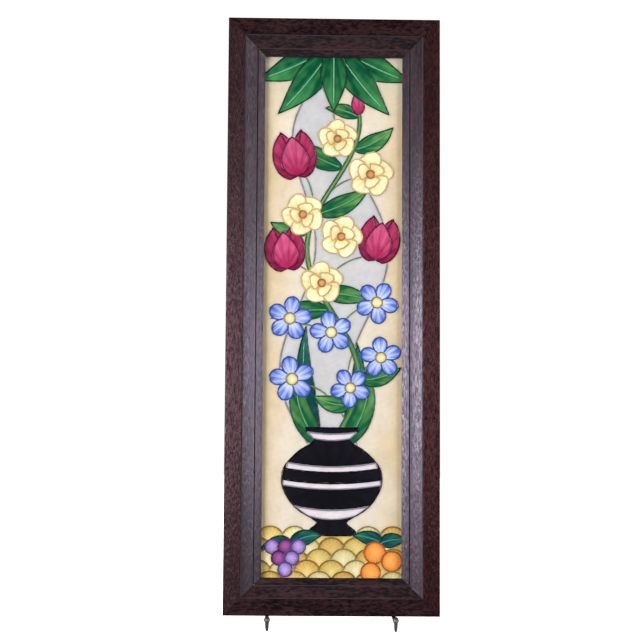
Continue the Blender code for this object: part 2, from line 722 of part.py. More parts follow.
def ridge_feet(line, half):
    """Feet of a ridge along a line: a row either side, and one point beyond each end."""
    left = []
    right = []
    last = len(line) - 1
    for i, point in enumerate(line):
        along = (line[min(i + 1, last)] - line[max(i - 1, 0)]).normalized()
        side = Vector((-along.y, along.x)) * half
        left.append(point + side)
        right.append(point - side)
    first_end = line[0] - (line[1] - line[0]).normalized() * half
    last_end = line[-1] + (line[-1] - line[-2]).normalized() * half
    return left, right, [first_end], [last_end]


def distances(spots, lines):
    """Distance of each spot to the nearest of the lines."""
    nearest = np.full(len(spots), np.inf)
    for line in lines:
        for start, end in zip(line, line[1:]):
            a = np.array(start)
            run = np.array(end) - a
            share = np.clip((spots - a) @ run / (run @ run), 0, 1)
            nearest = np.minimum(nearest, np.linalg.norm(spots - a - share[:, None] * run, axis=1))
    return nearest


def plaque_mesh(name):
    """Slab whose front is raised along the drawing's lines. Worked in millimetres, then made metres."""
    half_x = (SIGHT_WIDTH / 2 + PLAQUE_OVERLAP) / MM
    half_z = (SIGHT_HEIGHT / 2 + PLAQUE_OVERLAP) / MM
    scale_x = SIGHT_WIDTH / MM / FIELD_WIDTH
    scale_z = SIGHT_HEIGHT / MM / FIELD_HEIGHT
    half_line = LINE_WIDTH / 2 / MM
    line_height = LINE_HEIGHT / MM
    margin = (PLAQUE_OVERLAP - LINE_WIDTH) / MM / max(scale_x, scale_z)
    lines = [[Vector((x * scale_x, (z - FIELD_HEIGHT / 2) * scale_z)) for x, z in run]
             for run in visible_lines(drawing(), margin)]
    points = [Vector((-half_x, -half_z)), Vector((half_x, -half_z)), Vector((half_x, half_z)),
              Vector((-half_x, half_z))]
    edges = [(0, 1), (1, 2), (2, 3), (3, 0)]
    for line in lines:
        first = len(points)
        points += line
        edges += [(first + i, first + i + 1) for i in range(len(line) - 1)]
    # a foot that falls on another ridge is left out, and feet that stay side by side are linked
    rows = [row for line in lines for row in ridge_feet(line, half_line)]
    feet = [(foot, place > 0) for row in rows for place, foot in enumerate(row)]
    away = distances(np.array([tuple(foot) for foot, follows in feet]), lines)
    clear = away > RIDGE_CROWDING * half_line
    linked = False
    for (foot, follows), kept in zip(feet, clear):
        if kept and linked and follows:
            edges.append((len(points) - 1, len(points)))
        if kept:
            points.append(foot)
        linked = kept
    flat_points, _, faces = delaunay_2d_cdt(points, edges, [], 0, WELD_DISTANCE / MM)[:3]
    spots = np.array([(point.x, point.y) for point in flat_points])
    heights = line_height * np.clip(1 - distances(spots, lines) / half_line, 0, 1)
    shape = bmesh.new()
    corners = [shape.verts.new((x * MM, -height * MM, z * MM)) for (x, z), height in zip(spots, heights)]
    for face in faces:
        shape.faces.new([corners[i] for i in face])
    rim = [edge for edge in shape.edges if edge.is_boundary]
    wall = bmesh.ops.extrude_edge_only(shape, edges=rim)["geom"]
    for item in wall:
        if isinstance(item, bmesh.types.BMVert):
            item.co.y = PLAQUE_THICKNESS
    bmesh.ops.holes_fill(shape, edges=[edge for edge in shape.edges if edge.is_boundary], sides=0)
    bmesh.ops.recalc_face_normals(shape, faces=shape.faces)
    mesh = bpy.data.meshes.new(name)
    shape.to_mesh(mesh)
    shape.free()
    return mesh


def add_plaque(tilt):
    """Plaque against the lips, with its lines a gap short of them. The board lies behind it."""
    front = REBATE_DEPTH - FIT_GAP - LINE_HEIGHT
    mesh = plaque_mesh("ceramic_plaque")
    add_object("ceramic_plaque", mesh, "glazed_ceramic", tilt, (0, -front, FRAME_HEIGHT / 2))


def add_root():
    """Empty that puts the object's origin on the floor under the middle of its box."""
    front = min(point.x - thickness / 2 for point, thickness in zip(*leg_points()))
    back = max(point.x for point in strut_points()) + WIRE_DIAMETER / 2
    root = bpy.data.objects.new("floor_place", None)
    root.location = (0, -(front + back) / 2, 0)
    tilt = bpy.data.objects.new("picture_tilt", None)
    tilt.parent = root
    tilt.location = (0, 0, FLOOR_GAP)
    tilt.rotation_euler.x = -LEAN
    for empty in (root, tilt):
        bpy.context.scene.collection.objects.link(empty)
    return root, tilt


def main():
    clear_scene()
    new_collection("framed_ceramic_plaque")
    new_collection("cutters")
    material("stained_open_grain_wood", (0.045, 0.022, 0.026), 0.5)
    material("glazed_ceramic", (0.78, 0.66, 0.46), 0.15)
    material("hardboard", (0.22, 0.12, 0.06), 0.8)
    material("zinc_plated_steel", (0.6, 0.6, 0.58), 0.35, 1.0)
    material("easel_wire", (0.16, 0.15, 0.15), 0.4, 1.0)
    root, tilt = add_root()
    add_frame(tilt)
    add_plaque(tilt)
    add_board(tilt)
    add_clips(tilt)
    add_hanger(tilt)
    add_easel(root)
    bpy.context.view_layer.update()


main()
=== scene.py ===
# Tall glazed plaque in a stained oak frame on a bent wire easel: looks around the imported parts.
import math

import bpy
import numpy as np
from mathutils import Matrix, Vector


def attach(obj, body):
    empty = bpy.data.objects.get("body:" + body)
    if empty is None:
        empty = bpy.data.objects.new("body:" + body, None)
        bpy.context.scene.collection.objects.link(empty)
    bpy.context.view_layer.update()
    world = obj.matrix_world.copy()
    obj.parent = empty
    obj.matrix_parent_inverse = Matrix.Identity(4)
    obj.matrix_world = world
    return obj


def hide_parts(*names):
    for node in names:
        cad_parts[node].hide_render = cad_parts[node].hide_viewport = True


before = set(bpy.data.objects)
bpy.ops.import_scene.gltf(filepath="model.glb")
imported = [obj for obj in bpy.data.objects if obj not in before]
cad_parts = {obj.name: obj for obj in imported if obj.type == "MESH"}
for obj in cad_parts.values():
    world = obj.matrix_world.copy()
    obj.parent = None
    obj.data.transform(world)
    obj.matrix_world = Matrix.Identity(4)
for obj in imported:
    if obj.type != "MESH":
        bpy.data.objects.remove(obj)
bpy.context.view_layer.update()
mm = 0.001

# how the picture stands: leaning back on its easel, its own zero at the middle of the frame's lower back edge
stand = {"lean": 12.0, "floorGap": 5.8 * mm, "back": -48.787 * mm, "frameWidth": 154.0, "frameHeight": 432.0}
lean = math.radians(stand["lean"])
tilt = Matrix.Translation((0, stand["back"], stand["floorGap"])) @ Matrix.Rotation(-lean, 4, "X")


def linear(hexColour):
    # sRGB hex to the linear colour that the nodes work in
    parts = [int(hexColour[i:i + 2], 16) / 255 for i in (1, 3, 5)]
    return tuple(c / 12.92 if c <= 0.04045 else ((c + 0.055) / 1.055) ** 2.4 for c in parts) + (1.0,)


def addNode(tree, kind, settings=None, links=None, stops=None):
    # one node with its settings, its incoming links and, on a ramp, its stops
    node = tree.nodes.new(kind)
    for name, value in (settings or {}).items():
        if isinstance(name, int) or name in node.inputs:
            node.inputs[name].default_value = value
        else:
            setattr(node, name, value)
    for name, socket in (links or {}).items():
        tree.links.new(socket, node.inputs[name])
    if stops:
        ramp = node.color_ramp
        while len(ramp.elements) < len(stops):
            ramp.elements.new(0.5)
        for element, (place, colour) in zip(ramp.elements, stops):
            element.position = place
            element.color = colour
    return node


def newMaterial(name):
    made = bpy.data.materials.new(name)
    made.use_nodes = True
    return made, made.node_tree, made.node_tree.nodes["Principled BSDF"]


def pictureCoordinates(tree):
    # object coordinates turned back by the lean, so that X runs along the rails and Z along the stiles
    coords = addNode(tree, "ShaderNodeTexCoord")
    return addNode(tree, "ShaderNodeMapping", {"Rotation": (lean, 0, 0)}, {"Vector": coords.outputs["Object"]})


def finishPiece(piece, name, nodes=()):
    # names a finished piece, hangs it on the one body and hides the solids it stands for
    piece.name = name
    piece.data.name = name
    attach(piece, "root")
    if nodes:
        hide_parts(*nodes)
    piece.select_set(False)


def selectOnly(piece):
    bpy.ops.object.select_all(action="DESELECT")
    piece.select_set(True)
    bpy.context.view_layer.objects.active = piece


bpy.ops.object.select_all(action="DESELECT")


woodLook = {
    "stain": "#070304",        # the wine brown stain where the wood is dense
    "stainLight": "#2C1B1A",   # where it took less, on the open band
    "coveLight": "#341F1E",    # and on the filled cove
    "pore": "#070304",         # stain that stands in the pores
    "quirkShade": "#382A2D",        # painted shade in the step and the groove: their tone is set for how dark these hollows look
    "shadedStain": "#2B1413",    # a darker, redder tone for the right stile; the darkness is painted shade for the side the lamps light less
    "fleckWidth": 1.4,         # mm across and along the grain. Real flecks are finer, these are drawn to show
    "fleckLength": 3.6,
    "poreWidth": 0.55,
    "poreLength": 6.0,
    "blotchWidth": 5.0,
    "blotchLength": 34.0,
    "relief": 0.26,
    "fibreGloss": 0.95,        # how far the fibres draw a highlight out across the grain
}


def stainedOak(name, along, light, openness, roughness, sheen, gloss):
    # open grained oak, moulded and stained, under a thin satin lacquer: short flecks and dark pores run with
    # the grain, and its fibres draw every highlight out across it
    look = woodLook
    made, tree, shader = newMaterial(name)
    straight = pictureCoordinates(tree)

    def grain(width, length, detail, shift):
        scale = [1 / (width * mm)] * 3
        scale["XYZ".index(along)] = 1 / (length * mm)
        moved = addNode(tree, "ShaderNodeMapping", {"Scale": scale, "Location": (shift, shift * 0.7, shift * 1.3)},
                        {"Vector": straight.outputs[0]})
        return addNode(tree, "ShaderNodeTexNoise", {"Scale": 1.0, "Detail": detail, "Roughness": 0.55},
                       {"Vector": moved.outputs[0]})

    flecks = grain(look["fleckWidth"], look["fleckLength"], 1.5, 17.7)
    blotches = grain(look["blotchWidth"], look["blotchLength"], 2.0, 41.0)
    pores = grain(look["poreWidth"], look["poreLength"], 1.0, 3.1)
    poreMask = addNode(tree, "ShaderNodeMapRange", {"From Min": 0.57 + 0.08 * (1 - openness), "From Max": 0.67,
                                                    "To Min": 0.0, "To Max": openness},
                       {"Value": pores.outputs[0]})
    uneven = addNode(tree, "ShaderNodeMath", {"operation": "MULTIPLY_ADD", 1: 0.6},
                     {0: blotches.outputs[0], 2: flecks.outputs[0]})
    body = addNode(tree, "ShaderNodeValToRGB", None, {"Fac": uneven.outputs[0]},
                   [(0.7, linear(look["stain"])), (0.94, linear(light))])
    stained = addNode(tree, "ShaderNodeMix", {"data_type": "RGBA", 7: linear(look["pore"])},
                      {0: poreMask.outputs[0], 6: body.outputs[0]})
    tree.links.new(stained.outputs[2], shader.inputs["Base Color"])
    dull = addNode(tree, "ShaderNodeMapRange",
                   {"From Min": 0.3, "From Max": 0.7, "To Min": roughness + 0.24 * openness,
                    "To Max": roughness - 0.12 * openness}, {"Value": flecks.outputs[0]})
    poreDull = addNode(tree, "ShaderNodeMath", {"operation": "MULTIPLY_ADD", 1: 0.3},
                       {0: poreMask.outputs[0], 2: dull.outputs[0]})
    tree.links.new(poreDull.outputs[0], shader.inputs["Roughness"])
    height = addNode(tree, "ShaderNodeMath", {"operation": "SUBTRACT"},
                     {0: flecks.outputs[0], 1: poreMask.outputs[0]})
    bump = addNode(tree, "ShaderNodeBump", {"Strength": 0.1 + 0.75 * openness, "Distance": look["relief"] * mm},
                   {"Height": height.outputs[0]})
    tree.links.new(bump.outputs[0], shader.inputs["Normal"])
    fibres = addNode(tree, "ShaderNodeVectorTransform",
                     {"vector_type": "VECTOR", "convert_from": "OBJECT", "convert_to": "WORLD",
                      "Vector": tilt.to_3x3() @ Vector((along == "X", 0, along == "Z"))})
    surface = addNode(tree, "ShaderNodeNewGeometry")
    across = addNode(tree, "ShaderNodeVectorMath", {"operation": "CROSS_PRODUCT"},
                     {0: surface.outputs["Normal"], 1: fibres.outputs[0]})
    tree.links.new(across.outputs[0], shader.inputs["Tangent"])
    shader.inputs["Anisotropic"].default_value = look["fibreGloss"]
    shader.inputs["Specular Tint"].default_value = linear(sheen)
    shader.inputs["Specular IOR Level"].default_value = gloss
    return made


# light that comes back from the open fibres of the band takes on the stain's tint, the filled cove's stays silvery
bandWood = {}
coveWood = {}
for along, word in (("X", "Across"), ("Z", "Up")):
    bandWood[along] = stainedOak("stainedOakOpenGrain" + word, along, woodLook["stainLight"],
                                 1.0, 0.38, "#E4B4BC", 0.5)
    coveWood[along] = stainedOak("stainedOakFilledGrain" + word, along, woodLook["coveLight"],
                                 0.5, 0.41, "#F8F0FF", 0.8)
# the right stile's band: a darker copy of the band wood with a weaker sheen tint, painted shade for the side that
# gets less light
shadedBandWood = stainedOak("stainedOakOpenGrainShaded", "Z", woodLook["shadedStain"], 1.3, 0.38, "#C88A8C", 0.5)
print("wood materials made")


rail = {
    "width": 27.0, "depth": 22.0, "rebateWidth": 5.5, "rebateDepth": 12.6,
    "band": 12.3, "rounding": 1.0, "stepFall": 1.6, "stepRun": 0.5,
    "coveFall": 3.5, "coveHollow": 0.9, "groove": 0.8, "grooveDepth": 0.7,
    "lip": 5.0, "lipFront": 14.8, "lipCrown": 0.35, "backChamfer": 0.6,
    "mitreGap": 0.06,          # the joint is tight at the back and opens this far at the front
}


def arc(x, y, radius, start, end, steps):
    turns = [math.radians(start + (end - start) * i / steps) for i in range(steps + 1)]
    return [(x + radius * math.cos(turn), y + radius * math.sin(turn)) for turn in turns]


def mouldingSection():
    # inward from the outer side, forward from the back, in mm
    r = rail
    edge = r["depth"] - r["rounding"]
    section = [(0, r["backChamfer"])]
    section += arc(r["rounding"], edge, r["rounding"], 180, 90, 8)
    section += arc(r["band"] - r["rounding"], edge, r["rounding"], 90, 0, 8)
    coveStart = r["band"] + r["stepRun"]
    coveEnd = r["width"] - r["lip"] - r["groove"]
    coveTop = r["depth"] - r["stepFall"]
    coveFoot = coveTop - r["coveFall"]
    for i in range(25):
        share = i / 24
        section.append((coveStart + (coveEnd - coveStart) * share,
                        coveTop - r["coveFall"] * share - r["coveHollow"] * 4 * share * (1 - share)))
    section += [(coveEnd + 0.1, coveFoot - r["grooveDepth"]),
                (coveEnd + r["groove"] - 0.1, coveFoot - r["grooveDepth"])]
    for i in range(13):
        share = i / 12
        section.append((coveEnd + r["groove"] + r["lip"] * share,
                        coveFoot + (r["lipFront"] - coveFoot) * share + r["lipCrown"] * 4 * share * (1 - share)))
    section += [(r["width"], r["rebateDepth"]), (r["width"] - r["rebateWidth"], r["rebateDepth"]),
                (r["width"] - r["rebateWidth"], 0), (r["backChamfer"], 0)]
    return section


def addRail(name, along, band, length, place, turn):
    section = mouldingSection()
    bpy.ops.mesh.primitive_circle_add(vertices=len(section), radius=0.02, fill_type="NGON")
    piece = bpy.context.object
    for vertex, (inward, forward) in zip(piece.data.vertices, section):
        vertex.co = (-length * mm / 2, -forward * mm, inward * mm)
    bpy.ops.object.mode_set(mode="EDIT")
    bpy.ops.mesh.select_all(action="SELECT")
    bpy.ops.mesh.extrude_region_move(TRANSFORM_OT_translate={"value": (length * mm, 0, 0)})
    for side in (-1, 1):   # the two mitres
        bpy.ops.mesh.select_all(action="SELECT")
        bpy.ops.mesh.bisect(plane_co=(side * length / 2 * mm, 0, 0), use_fill=True, clear_outer=True,
                            plane_no=(side, -rail["mitreGap"] / rail["depth"], 1))
    bpy.ops.mesh.select_all(action="SELECT")
    bpy.ops.mesh.normals_make_consistent(inside=False)
    bpy.ops.object.mode_set(mode="OBJECT")
    bpy.ops.object.shade_smooth_by_angle(angle=math.radians(28))
    for material in (band, coveWood[along], hollowShade):
        piece.data.materials.append(material)
    step = (rail["band"] - 0.1) * mm
    groove = (rail["width"] - rail["lip"] - rail["groove"] - 0.05) * mm
    # the step, the groove and the mitre cuts take the third material, the painted shade of these hollows
    for face in piece.data.polygons:
        inward = face.center.z
        face.material_index = int(inward > step)
        inQuirk = step < inward < step + 0.65 * mm or groove < inward < groove + (rail["groove"] + 0.1) * mm
        if inQuirk or abs(face.normal.x) > 0.5:   # the cut faces of the mitres too
            face.material_index = 2
    piece.data.transform(tilt @ Matrix.Translation(place) @ Matrix.Rotation(math.radians(turn), 4, "Y"))
    finishPiece(piece, name + "_moulding", [name])
    return piece


def paintedHollowShade():
    # painted shade for the step and the groove of the moulding and for the mitre cuts: a tone of their own, set
    # for how dark these hollows look, and duller than the rest
    made, tree, shader = newMaterial("paintedShadeInQuirks")
    straight = pictureCoordinates(tree)
    patches = addNode(tree, "ShaderNodeTexNoise", {"Scale": 1 / (3 * mm), "Detail": 2.0},
                      {"Vector": straight.outputs[0]})
    tone = addNode(tree, "ShaderNodeValToRGB", None, {"Fac": patches.outputs[0]},
                   [(0.35, linear(woodLook["quirkShade"])), (0.7, linear(woodLook["coveLight"]))])
    tree.links.new(tone.outputs[0], shader.inputs["Base Color"])
    shader.inputs["Roughness"].default_value = 0.62
    shader.inputs["Specular IOR Level"].default_value = 0.5
    return made


hollowShade = paintedHollowShade()
half = (stand["frameWidth"] / 2 * mm, stand["frameHeight"] / 2 * mm)
addRail("frame_bottom_rail", "X", bandWood["X"], stand["frameWidth"], (0, 0, 0), 0)
addRail("frame_right_stile", "Z", shadedBandWood, stand["frameHeight"], (half[0], 0, half[1]), -90)
addRail("frame_top_rail", "X", bandWood["X"], stand["frameWidth"], (0, 0, 2 * half[1]), 180)
addRail("frame_left_stile", "Z", bandWood["Z"], stand["frameHeight"], (-half[0], 0, half[1]), 90)
print("frame made")


field = {"width": 100.0, "height": 378.0, "stemFoot": 96.0, "stemTop": 338.0, "stemSwing": 19.0, "stemWave": 188.0}

# each glaze: at a figure's foot or middle, at its tip or rim, the slip line round it and the veins in it
glazes = {
    "mist": ("#B6B7B0", "#ACAEAA", "#757879"),
    "gold": ("#D5C475", "#B69A4B", "#7E6B37"),
    "ochre": ("#D3B76D", "#AF8D3F", "#785F30"),
    "straw": ("#DED6A7", "#C4B873", "#807544"),
    "leafDark": ("#0C3F40", "#2A7458", "#0A3433", "#3F8070"),
    "leaf": ("#0B5433", "#679C4E", "#0F4429", "#579460"),
    "leafDeep": ("#03442A", "#3C8246", "#063421", "#62A27C"),
    "stem": ("#4E8448", "#7EA45A", "#2C5638"),
    "twig": ("#4C6A44", "#4C6A44", "#5A7452"),
    "wine": ("#6E1234", "#A8375A", "#4E1230"),
    "wineFront": ("#8E1E44", "#C2587A", "#5E1634"),
    "cream": ("#D8B766", "#F4E8B8", "#B7A068"),
    "blush": ("#C99A5C", "#B47A4C", "#8E6440"),
    "blue": ("#C3D0EE", "#3C60B4", "#2E4988"),
    "black": ("#0A0A0E", "#131319", "#08080B"),
    "white": ("#DAD3CE", "#CAC6C6", "#78787E"),
    "violet": ("#B09CCB", "#6E5298", "#4C3A72"),
    "plum": ("#97558F", "#5C2C5C", "#452044"),
    "orange": ("#EFA552", "#D27830", "#935022"),
}
ground = ("#CBC3AB", "#C5B38A", "#BDB698")   # the bare ground: in the middle, along the sides and at the top


def figure(tone, outline, ribs=(), spot=(0, 0), reach=1.0):
    # a closed outline with its inner lines; spot and reach say where its glaze fades from and how far
    return {"tone": tone, "outline": outline, "ribs": list(ribs), "spot": spot, "reach": reach}


def stalk(x, z, angle, length, bend, steps):
    points = [(x, z)]
    for i in range(steps):
        heading = math.radians(angle + bend * (i + 0.5) / steps)
        x += length / steps * math.cos(heading)
        z += length / steps * math.sin(heading)
        points.append((x, z))
    return points


def blade(tone, x, z, angle, length, width, bend=0.0, belly=0.8, blunt=1.0, rib=0.85, steps=16):
    # leaf or petal: belly sets where it is widest, a low blunt makes it rounder at the ends
    middle = stalk(x, z, angle, length, bend, steps)
    left = []
    right = []
    for i, (px, pz) in enumerate(middle):
        share = i / steps
        half = 0.5 * width * abs(math.sin(math.pi * share ** belly)) ** blunt
        heading = math.radians(angle + bend * share)
        left.append((px - half * math.sin(heading), pz + half * math.cos(heading)))
        right.append((px + half * math.sin(heading), pz - half * math.cos(heading)))
    ribs = [middle[1:1 + round(rib * steps)]] if rib else []
    return figure(tone, left + right[-2:0:-1], ribs, (x, z), length)


def disc(tone, x, z, radius, steps=20):
    turns = [2 * math.pi * i / steps for i in range(steps)]
    ring = [(x + radius * math.cos(turn), z + radius * math.sin(turn)) for turn in turns]
    return figure(tone, ring, (), (x, z), radius)


def flower(x, z, radius, turn, petals=5):
    ring = [blade("blue", x, z, turn + 360.0 * i / petals, radius, radius * 3.4 / petals, belly=1.5, blunt=0.55,
                  rib=0) for i in range(petals)]
    return ring + [disc("straw", x, z, radius * 0.26, 12)]


def rose(x, z, radius, turn):
    petals = []
    for count, reach, width, shift, bend in ((5, 1.06, 1.05, 0.0, 34.0), (3, 0.62, 1.25, 20.0, 40.0)):
        for i in range(count):
            petals.append(blade("cream", x, z, turn + shift + 360.0 * i / count, radius * reach,
                                radius * reach * width, bend, belly=1.65, blunt=0.5, rib=0))
    return petals + [disc("blush", x, z, radius * 0.2, 12)]


def tulip(x, z, angle, height, width):
    cup = []
    for side in (-1, 1):
        cup.append(blade("wine", x, z, angle + 13 * side, height * 0.96, width * 0.42, belly=0.75,
                         blunt=0.8, rib=0))
    for side in (-1, 1):
        cup.append(blade("wine", x, z, angle + 44 * side, height * 0.98, width * 0.46, -62.0 * side, belly=0.62,
                         blunt=0.8, rib=0))
    cup.append(blade("wineFront", x, z, angle, height * 0.82, width * 0.56, belly=0.72, blunt=0.8, rib=0))
    return cup


def stemX(z):
    return field["stemSwing"] * math.sin(2 * math.pi * (z - field["stemFoot"]) / field["stemWave"])


def stem(rows=60, halfFoot=1.7, halfTip=1.1):
    left = []
    right = []
    for i in range(rows + 1):
        z = field["stemFoot"] + (field["stemTop"] - field["stemFoot"]) * i / rows
        half = halfFoot + (halfTip - halfFoot) * i / rows
        turn = math.atan2(stemX(z + 0.5) - stemX(z - 0.5), 1.0)
        left.append((stemX(z) - half * math.cos(turn), z + half * math.sin(turn)))
        right.append((stemX(z) + half * math.cos(turn), z - half * math.sin(turn)))
    return figure("stem", left + right[::-1], (), (0, field["stemFoot"]), 240)


def twig(zStart, x, z, sag=0.35, steps=12):
    startX = stemX(zStart)
    kneeX = startX + (x - startX) * sag
    line = []
    for i in range(steps + 1):
        t = i / steps
        line.append(((1 - t) ** 2 * startX + 2 * t * (1 - t) * kneeX + t * t * x,
                     (1 - t) ** 2 * zStart + (1 - (1 - t) ** 2) * z))
    return figure("twig", [], [line])


def drift(low=58.0, high=356.0, halfWidth=27.0, rows=40):
    left = []
    right = []
    for i in range(rows + 1):
        share = i / rows
        z = low + (high - low) * share
        middle = -0.72 * stemX(z)
        half = halfWidth * math.sin(math.pi * share) ** 0.45
        left.append((middle - half, z))
        right.append((middle + half, z))
    return figure("mist", left + right[-2:0:-1], (), (0, 200), 150)


def cobbles(radius=9.6, pitch=17.5, rowStep=8.0, rows=5, top=27.0):
    stones = []
    for row in range(rows):
        count = 6 + row % 2
        for i in range(count):
            tone = ("gold", "ochre", "straw")[(i * 2 + row) % 3]
            stones.append(disc(tone, (i - 0.5 * (count - 1)) * pitch, top - rowStep * row, radius, 22))
    return stones


def urnSide():
    profile = ((15.5, 30.0), (17.0, 33.0), (11.0, 38.0), (12.0, 41.0), (26.0, 50.0), (35.0, 64.0), (34.5, 78.0),
               (24.0, 90.0), (14.5, 96.0), (13.5, 100.0), (18.5, 104.5), (19.0, 107.0))
    points = []
    for i in range(len(profile) - 1):
        around = (profile[max(i - 1, 0)], profile[i], profile[i + 1], profile[min(i + 2, len(profile) - 1)])
        for k in range(4):
            t = k / 4
            points.append(tuple(0.5 * (2 * b + (c - a) * t + (2 * a - 5 * b + 4 * c - d) * t * t
                                       + (3 * b - a - 3 * c + d) * t ** 3) for a, b, c, d in zip(*around)))
    points.append(profile[-1])
    return points


def urn():
    right = urnSide()
    return figure("black", right + [(-x, z) for x, z in reversed(right)], (), (0, 66), 40)


def urnHalfWidth(z):
    half = 0.0
    side = urnSide()
    for (ax, az), (bx, bz) in zip(side, side[1:]):
        if min(az, bz) <= z <= max(az, bz) and az != bz:
            half = max(half, ax + (bx - ax) * (z - az) / (bz - az))
    return half


def urnHoop(tone, low, high, sag, steps=12):
    edges = []
    for z in (low, high):
        half = urnHalfWidth(z) - 0.05
        across = [2 * i / steps - 1 for i in range(steps + 1)]
        edges.append([(half * share, z - sag * (1 - share ** 2)) for share in across])
    return figure(tone, edges[0] + edges[1][::-1], (), (0, low), 36)


def grapes(x, z, radius, rows=(3, 2, 1)):
    bunch = []
    for row, count in enumerate(rows):
        for i in range(count):
            bunch.append(disc(("violet", "plum")[(i + row) % 2], x + (i - 0.5 * (count - 1)) * radius * 1.8,
                              z - row * radius * 1.55, radius, 14))
    return bunch


def drawing():
    # all figures from the back to the front: x from the middle, z from the lower edge, in mm
    figures = [drift()] + cobbles()
    for side in (-1, 1):
        figures.append(blade("leafDark", -8 * side, 90, 90 + 22 * side, 86 + 6 * side, 14, -30 * side))
        figures.append(blade("leaf", -4 * side, 92, 90 + 50 * side, 66, 15, -62 * side, belly=0.75))
    for zStart, x, z in ((112, -27, 139), (118, 15, 137), (134, 33, 156), (150, -2, 174), (168, -29, 182),
                         (180, 31, 196), (204, -32, 226), (206, 30, 232), (262, -24, 292), (268, 24, 290)):
        figures.append(twig(zStart, x, z))
    for z, angle, length, width, bend in ((124, 190, 30, 12, -44), (142, -4, 32, 12, 40), (192, 176, 44, 14, 24),
                                          (204, 4, 38, 13, -24), (252, 200, 30, 12, -56), (262, 14, 44, 14, 26),
                                          (296, 162, 46, 14, -22), (310, 10, 34, 13, 40), (334, 150, 26, 10, 30)):
        figures.append(blade("leaf", stemX(z), z, angle, length, width, bend))
    figures.append(stem())
    figures.append(blade("wineFront", stemX(field["stemTop"]), field["stemTop"] - 2, 97, 17, 9, belly=0.7,
                         blunt=0.8, rib=0))
    for x, z, angle, height, width in ((-26, 290, 99, 36, 36), (31, 229, 80, 34, 34), (-33, 222, 97, 33, 33)):
        figures += tulip(x, z, angle, height, width)
    for x, z, radius, turn in ((27, 292, 15.0, 10), (-22, 262, 14.0, 40), (6, 246, 14.0, 0), (-8, 212, 14.0, 20),
                               (3, 318, 13.0, 20)):
        figures += rose(x, z, radius, turn)
    for x, z, radius, turn in ((-31, 186, 16.0, 80), (32, 198, 15.5, 60), (-29, 142, 16.5, 100),
                               (35, 158, 15.0, 95), (-1, 176, 15.5, 30), (13, 136, 14.5, 50)):
        figures += flower(x, z, radius, turn)
    for angle, length, width in ((190, 52, 19), (350, 52, 19), (214, 62, 21), (326, 62, 21), (240, 66, 21),
                                 (300, 66, 21), (270, 50, 19)):
        bend = 16 * ((angle > 270) - (angle < 270))
        figures.append(blade("leafDeep", 0, 388, angle, length, width, bend))
    figures.append(urn())
    for tone, low, high, sag in (("white", 66, 82, 3), ("black", 70, 78, 3), ("white", 44.5, 51, 3),
                                 ("white", 99.5, 104, 1.5)):
        figures.append(urnHoop(tone, low, high, sag))
    for x, z, angle, length, width, bend in ((-27, 24, 172, 24, 11, 34), (-30, 24, 30, 24, 11, -30)):
        figures.append(blade("leafDark", x, z, angle, length, width, bend))
    figures += grapes(-33, 22, 5.2)
    for x, z, angle, length, width, bend in ((38, 24, 150, 24, 10, 30), (34, 24, 28, 20, 10, -40)):
        figures.append(blade("leafDark", x, z, angle, length, width, bend))
    for x, z, radius in ((31, 18, 7.6), (43, 12, 7.2), (28, 4, 7.0)):
        figures.append(disc("orange", x, z, radius))
    return figures


def inside(px, pz, outline):
    # which of the points lie inside the outline
    crossed = np.zeros(np.broadcast(px, pz).shape, bool)
    ax, az = outline[-1]
    for bx, bz in outline:
        if az != bz:
            crossed ^= ((az > pz) != (bz > pz)) & (px < ax + (bx - ax) * (pz - az) / (bz - az))
        ax, az = bx, bz
    return crossed


def evenPoints(line, step):
    points = [line[0]]
    for (ax, az), (bx, bz) in zip(line, line[1:]):
        count = max(1, math.ceil(math.hypot(bx - ax, bz - az) / step))
        points += [(ax + (bx - ax) * i / count, az + (bz - az) * i / count) for i in range(1, count + 1)]
    return points


def visibleLines(figures, margin, step=0.9, shortest=2.4):
    # stretches of each figure's lines that no later figure covers, with the colour of the slip
    runs = []
    for number, item in enumerate(figures):
        closed = item["outline"]
        slips = glazes[item["tone"]]
        edge = [(closed + closed[:1], slips[2])] if closed else []
        for line, slip in edge + [(rib, slips[-1]) for rib in item["ribs"]]:
            points = np.array(evenPoints(line, step))
            px, pz = points[:, 0], points[:, 1]
            shown = (abs(px) < field["width"] / 2 + margin) & (pz > -margin) & (pz < field["height"] + margin)
            for later in figures[number + 1:]:
                if later["outline"]:
                    shown &= ~inside(px, pz, later["outline"])
            run = []
            for point, seen in zip(points.tolist() + [None], shown.tolist() + [False]):
                if seen:
                    run.append(point)
                    continue
                if len(run) * step > shortest:
                    runs.append((slip, run))
                run = []
    return runs


plaque = {
    "frontDepth": 11.5,       # mm from the frame's back to the field between the lines
    "thickness": 8.0,
    "overlap": 4.8,           # hidden behind the lips on each side
    "gridStep": 0.76,
    "gridMargin": 0.6,
    "lineRadius": 0.5,
    "lineRise": 0.14,
    "unevenness": 0.16,       # a trailed line is never quite even
    "meniscus": 0.16,         # glaze climbs up the lines
    "pooling": 2.6,           # and is darker and thicker this near to them
    "brushMarks": 0.025,
}


def nearestLine(xs, zs, runs, reach):
    # distance from each crossing of the grid to the nearest line, up to the reach
    away = np.full((len(zs), len(xs)), reach)
    for _, run in runs:
        for (ax, az), (bx, bz) in zip(run, run[1:]):
            i0, i1 = np.searchsorted(xs, (min(ax, bx) - reach, max(ax, bx) + reach))
            k0, k1 = np.searchsorted(zs, (min(az, bz) - reach, max(az, bz) + reach))
            gx = xs[None, i0:i1] - ax
            gz = zs[k0:k1, None] - az
            share = np.clip((gx * (bx - ax) + gz * (bz - az)) / ((bx - ax) ** 2 + (bz - az) ** 2), 0, 1)
            near = np.hypot(gx - share * (bx - ax), gz - share * (bz - az))
            away[k0:k1, i0:i1] = np.minimum(away[k0:k1, i0:i1], near)
    return away


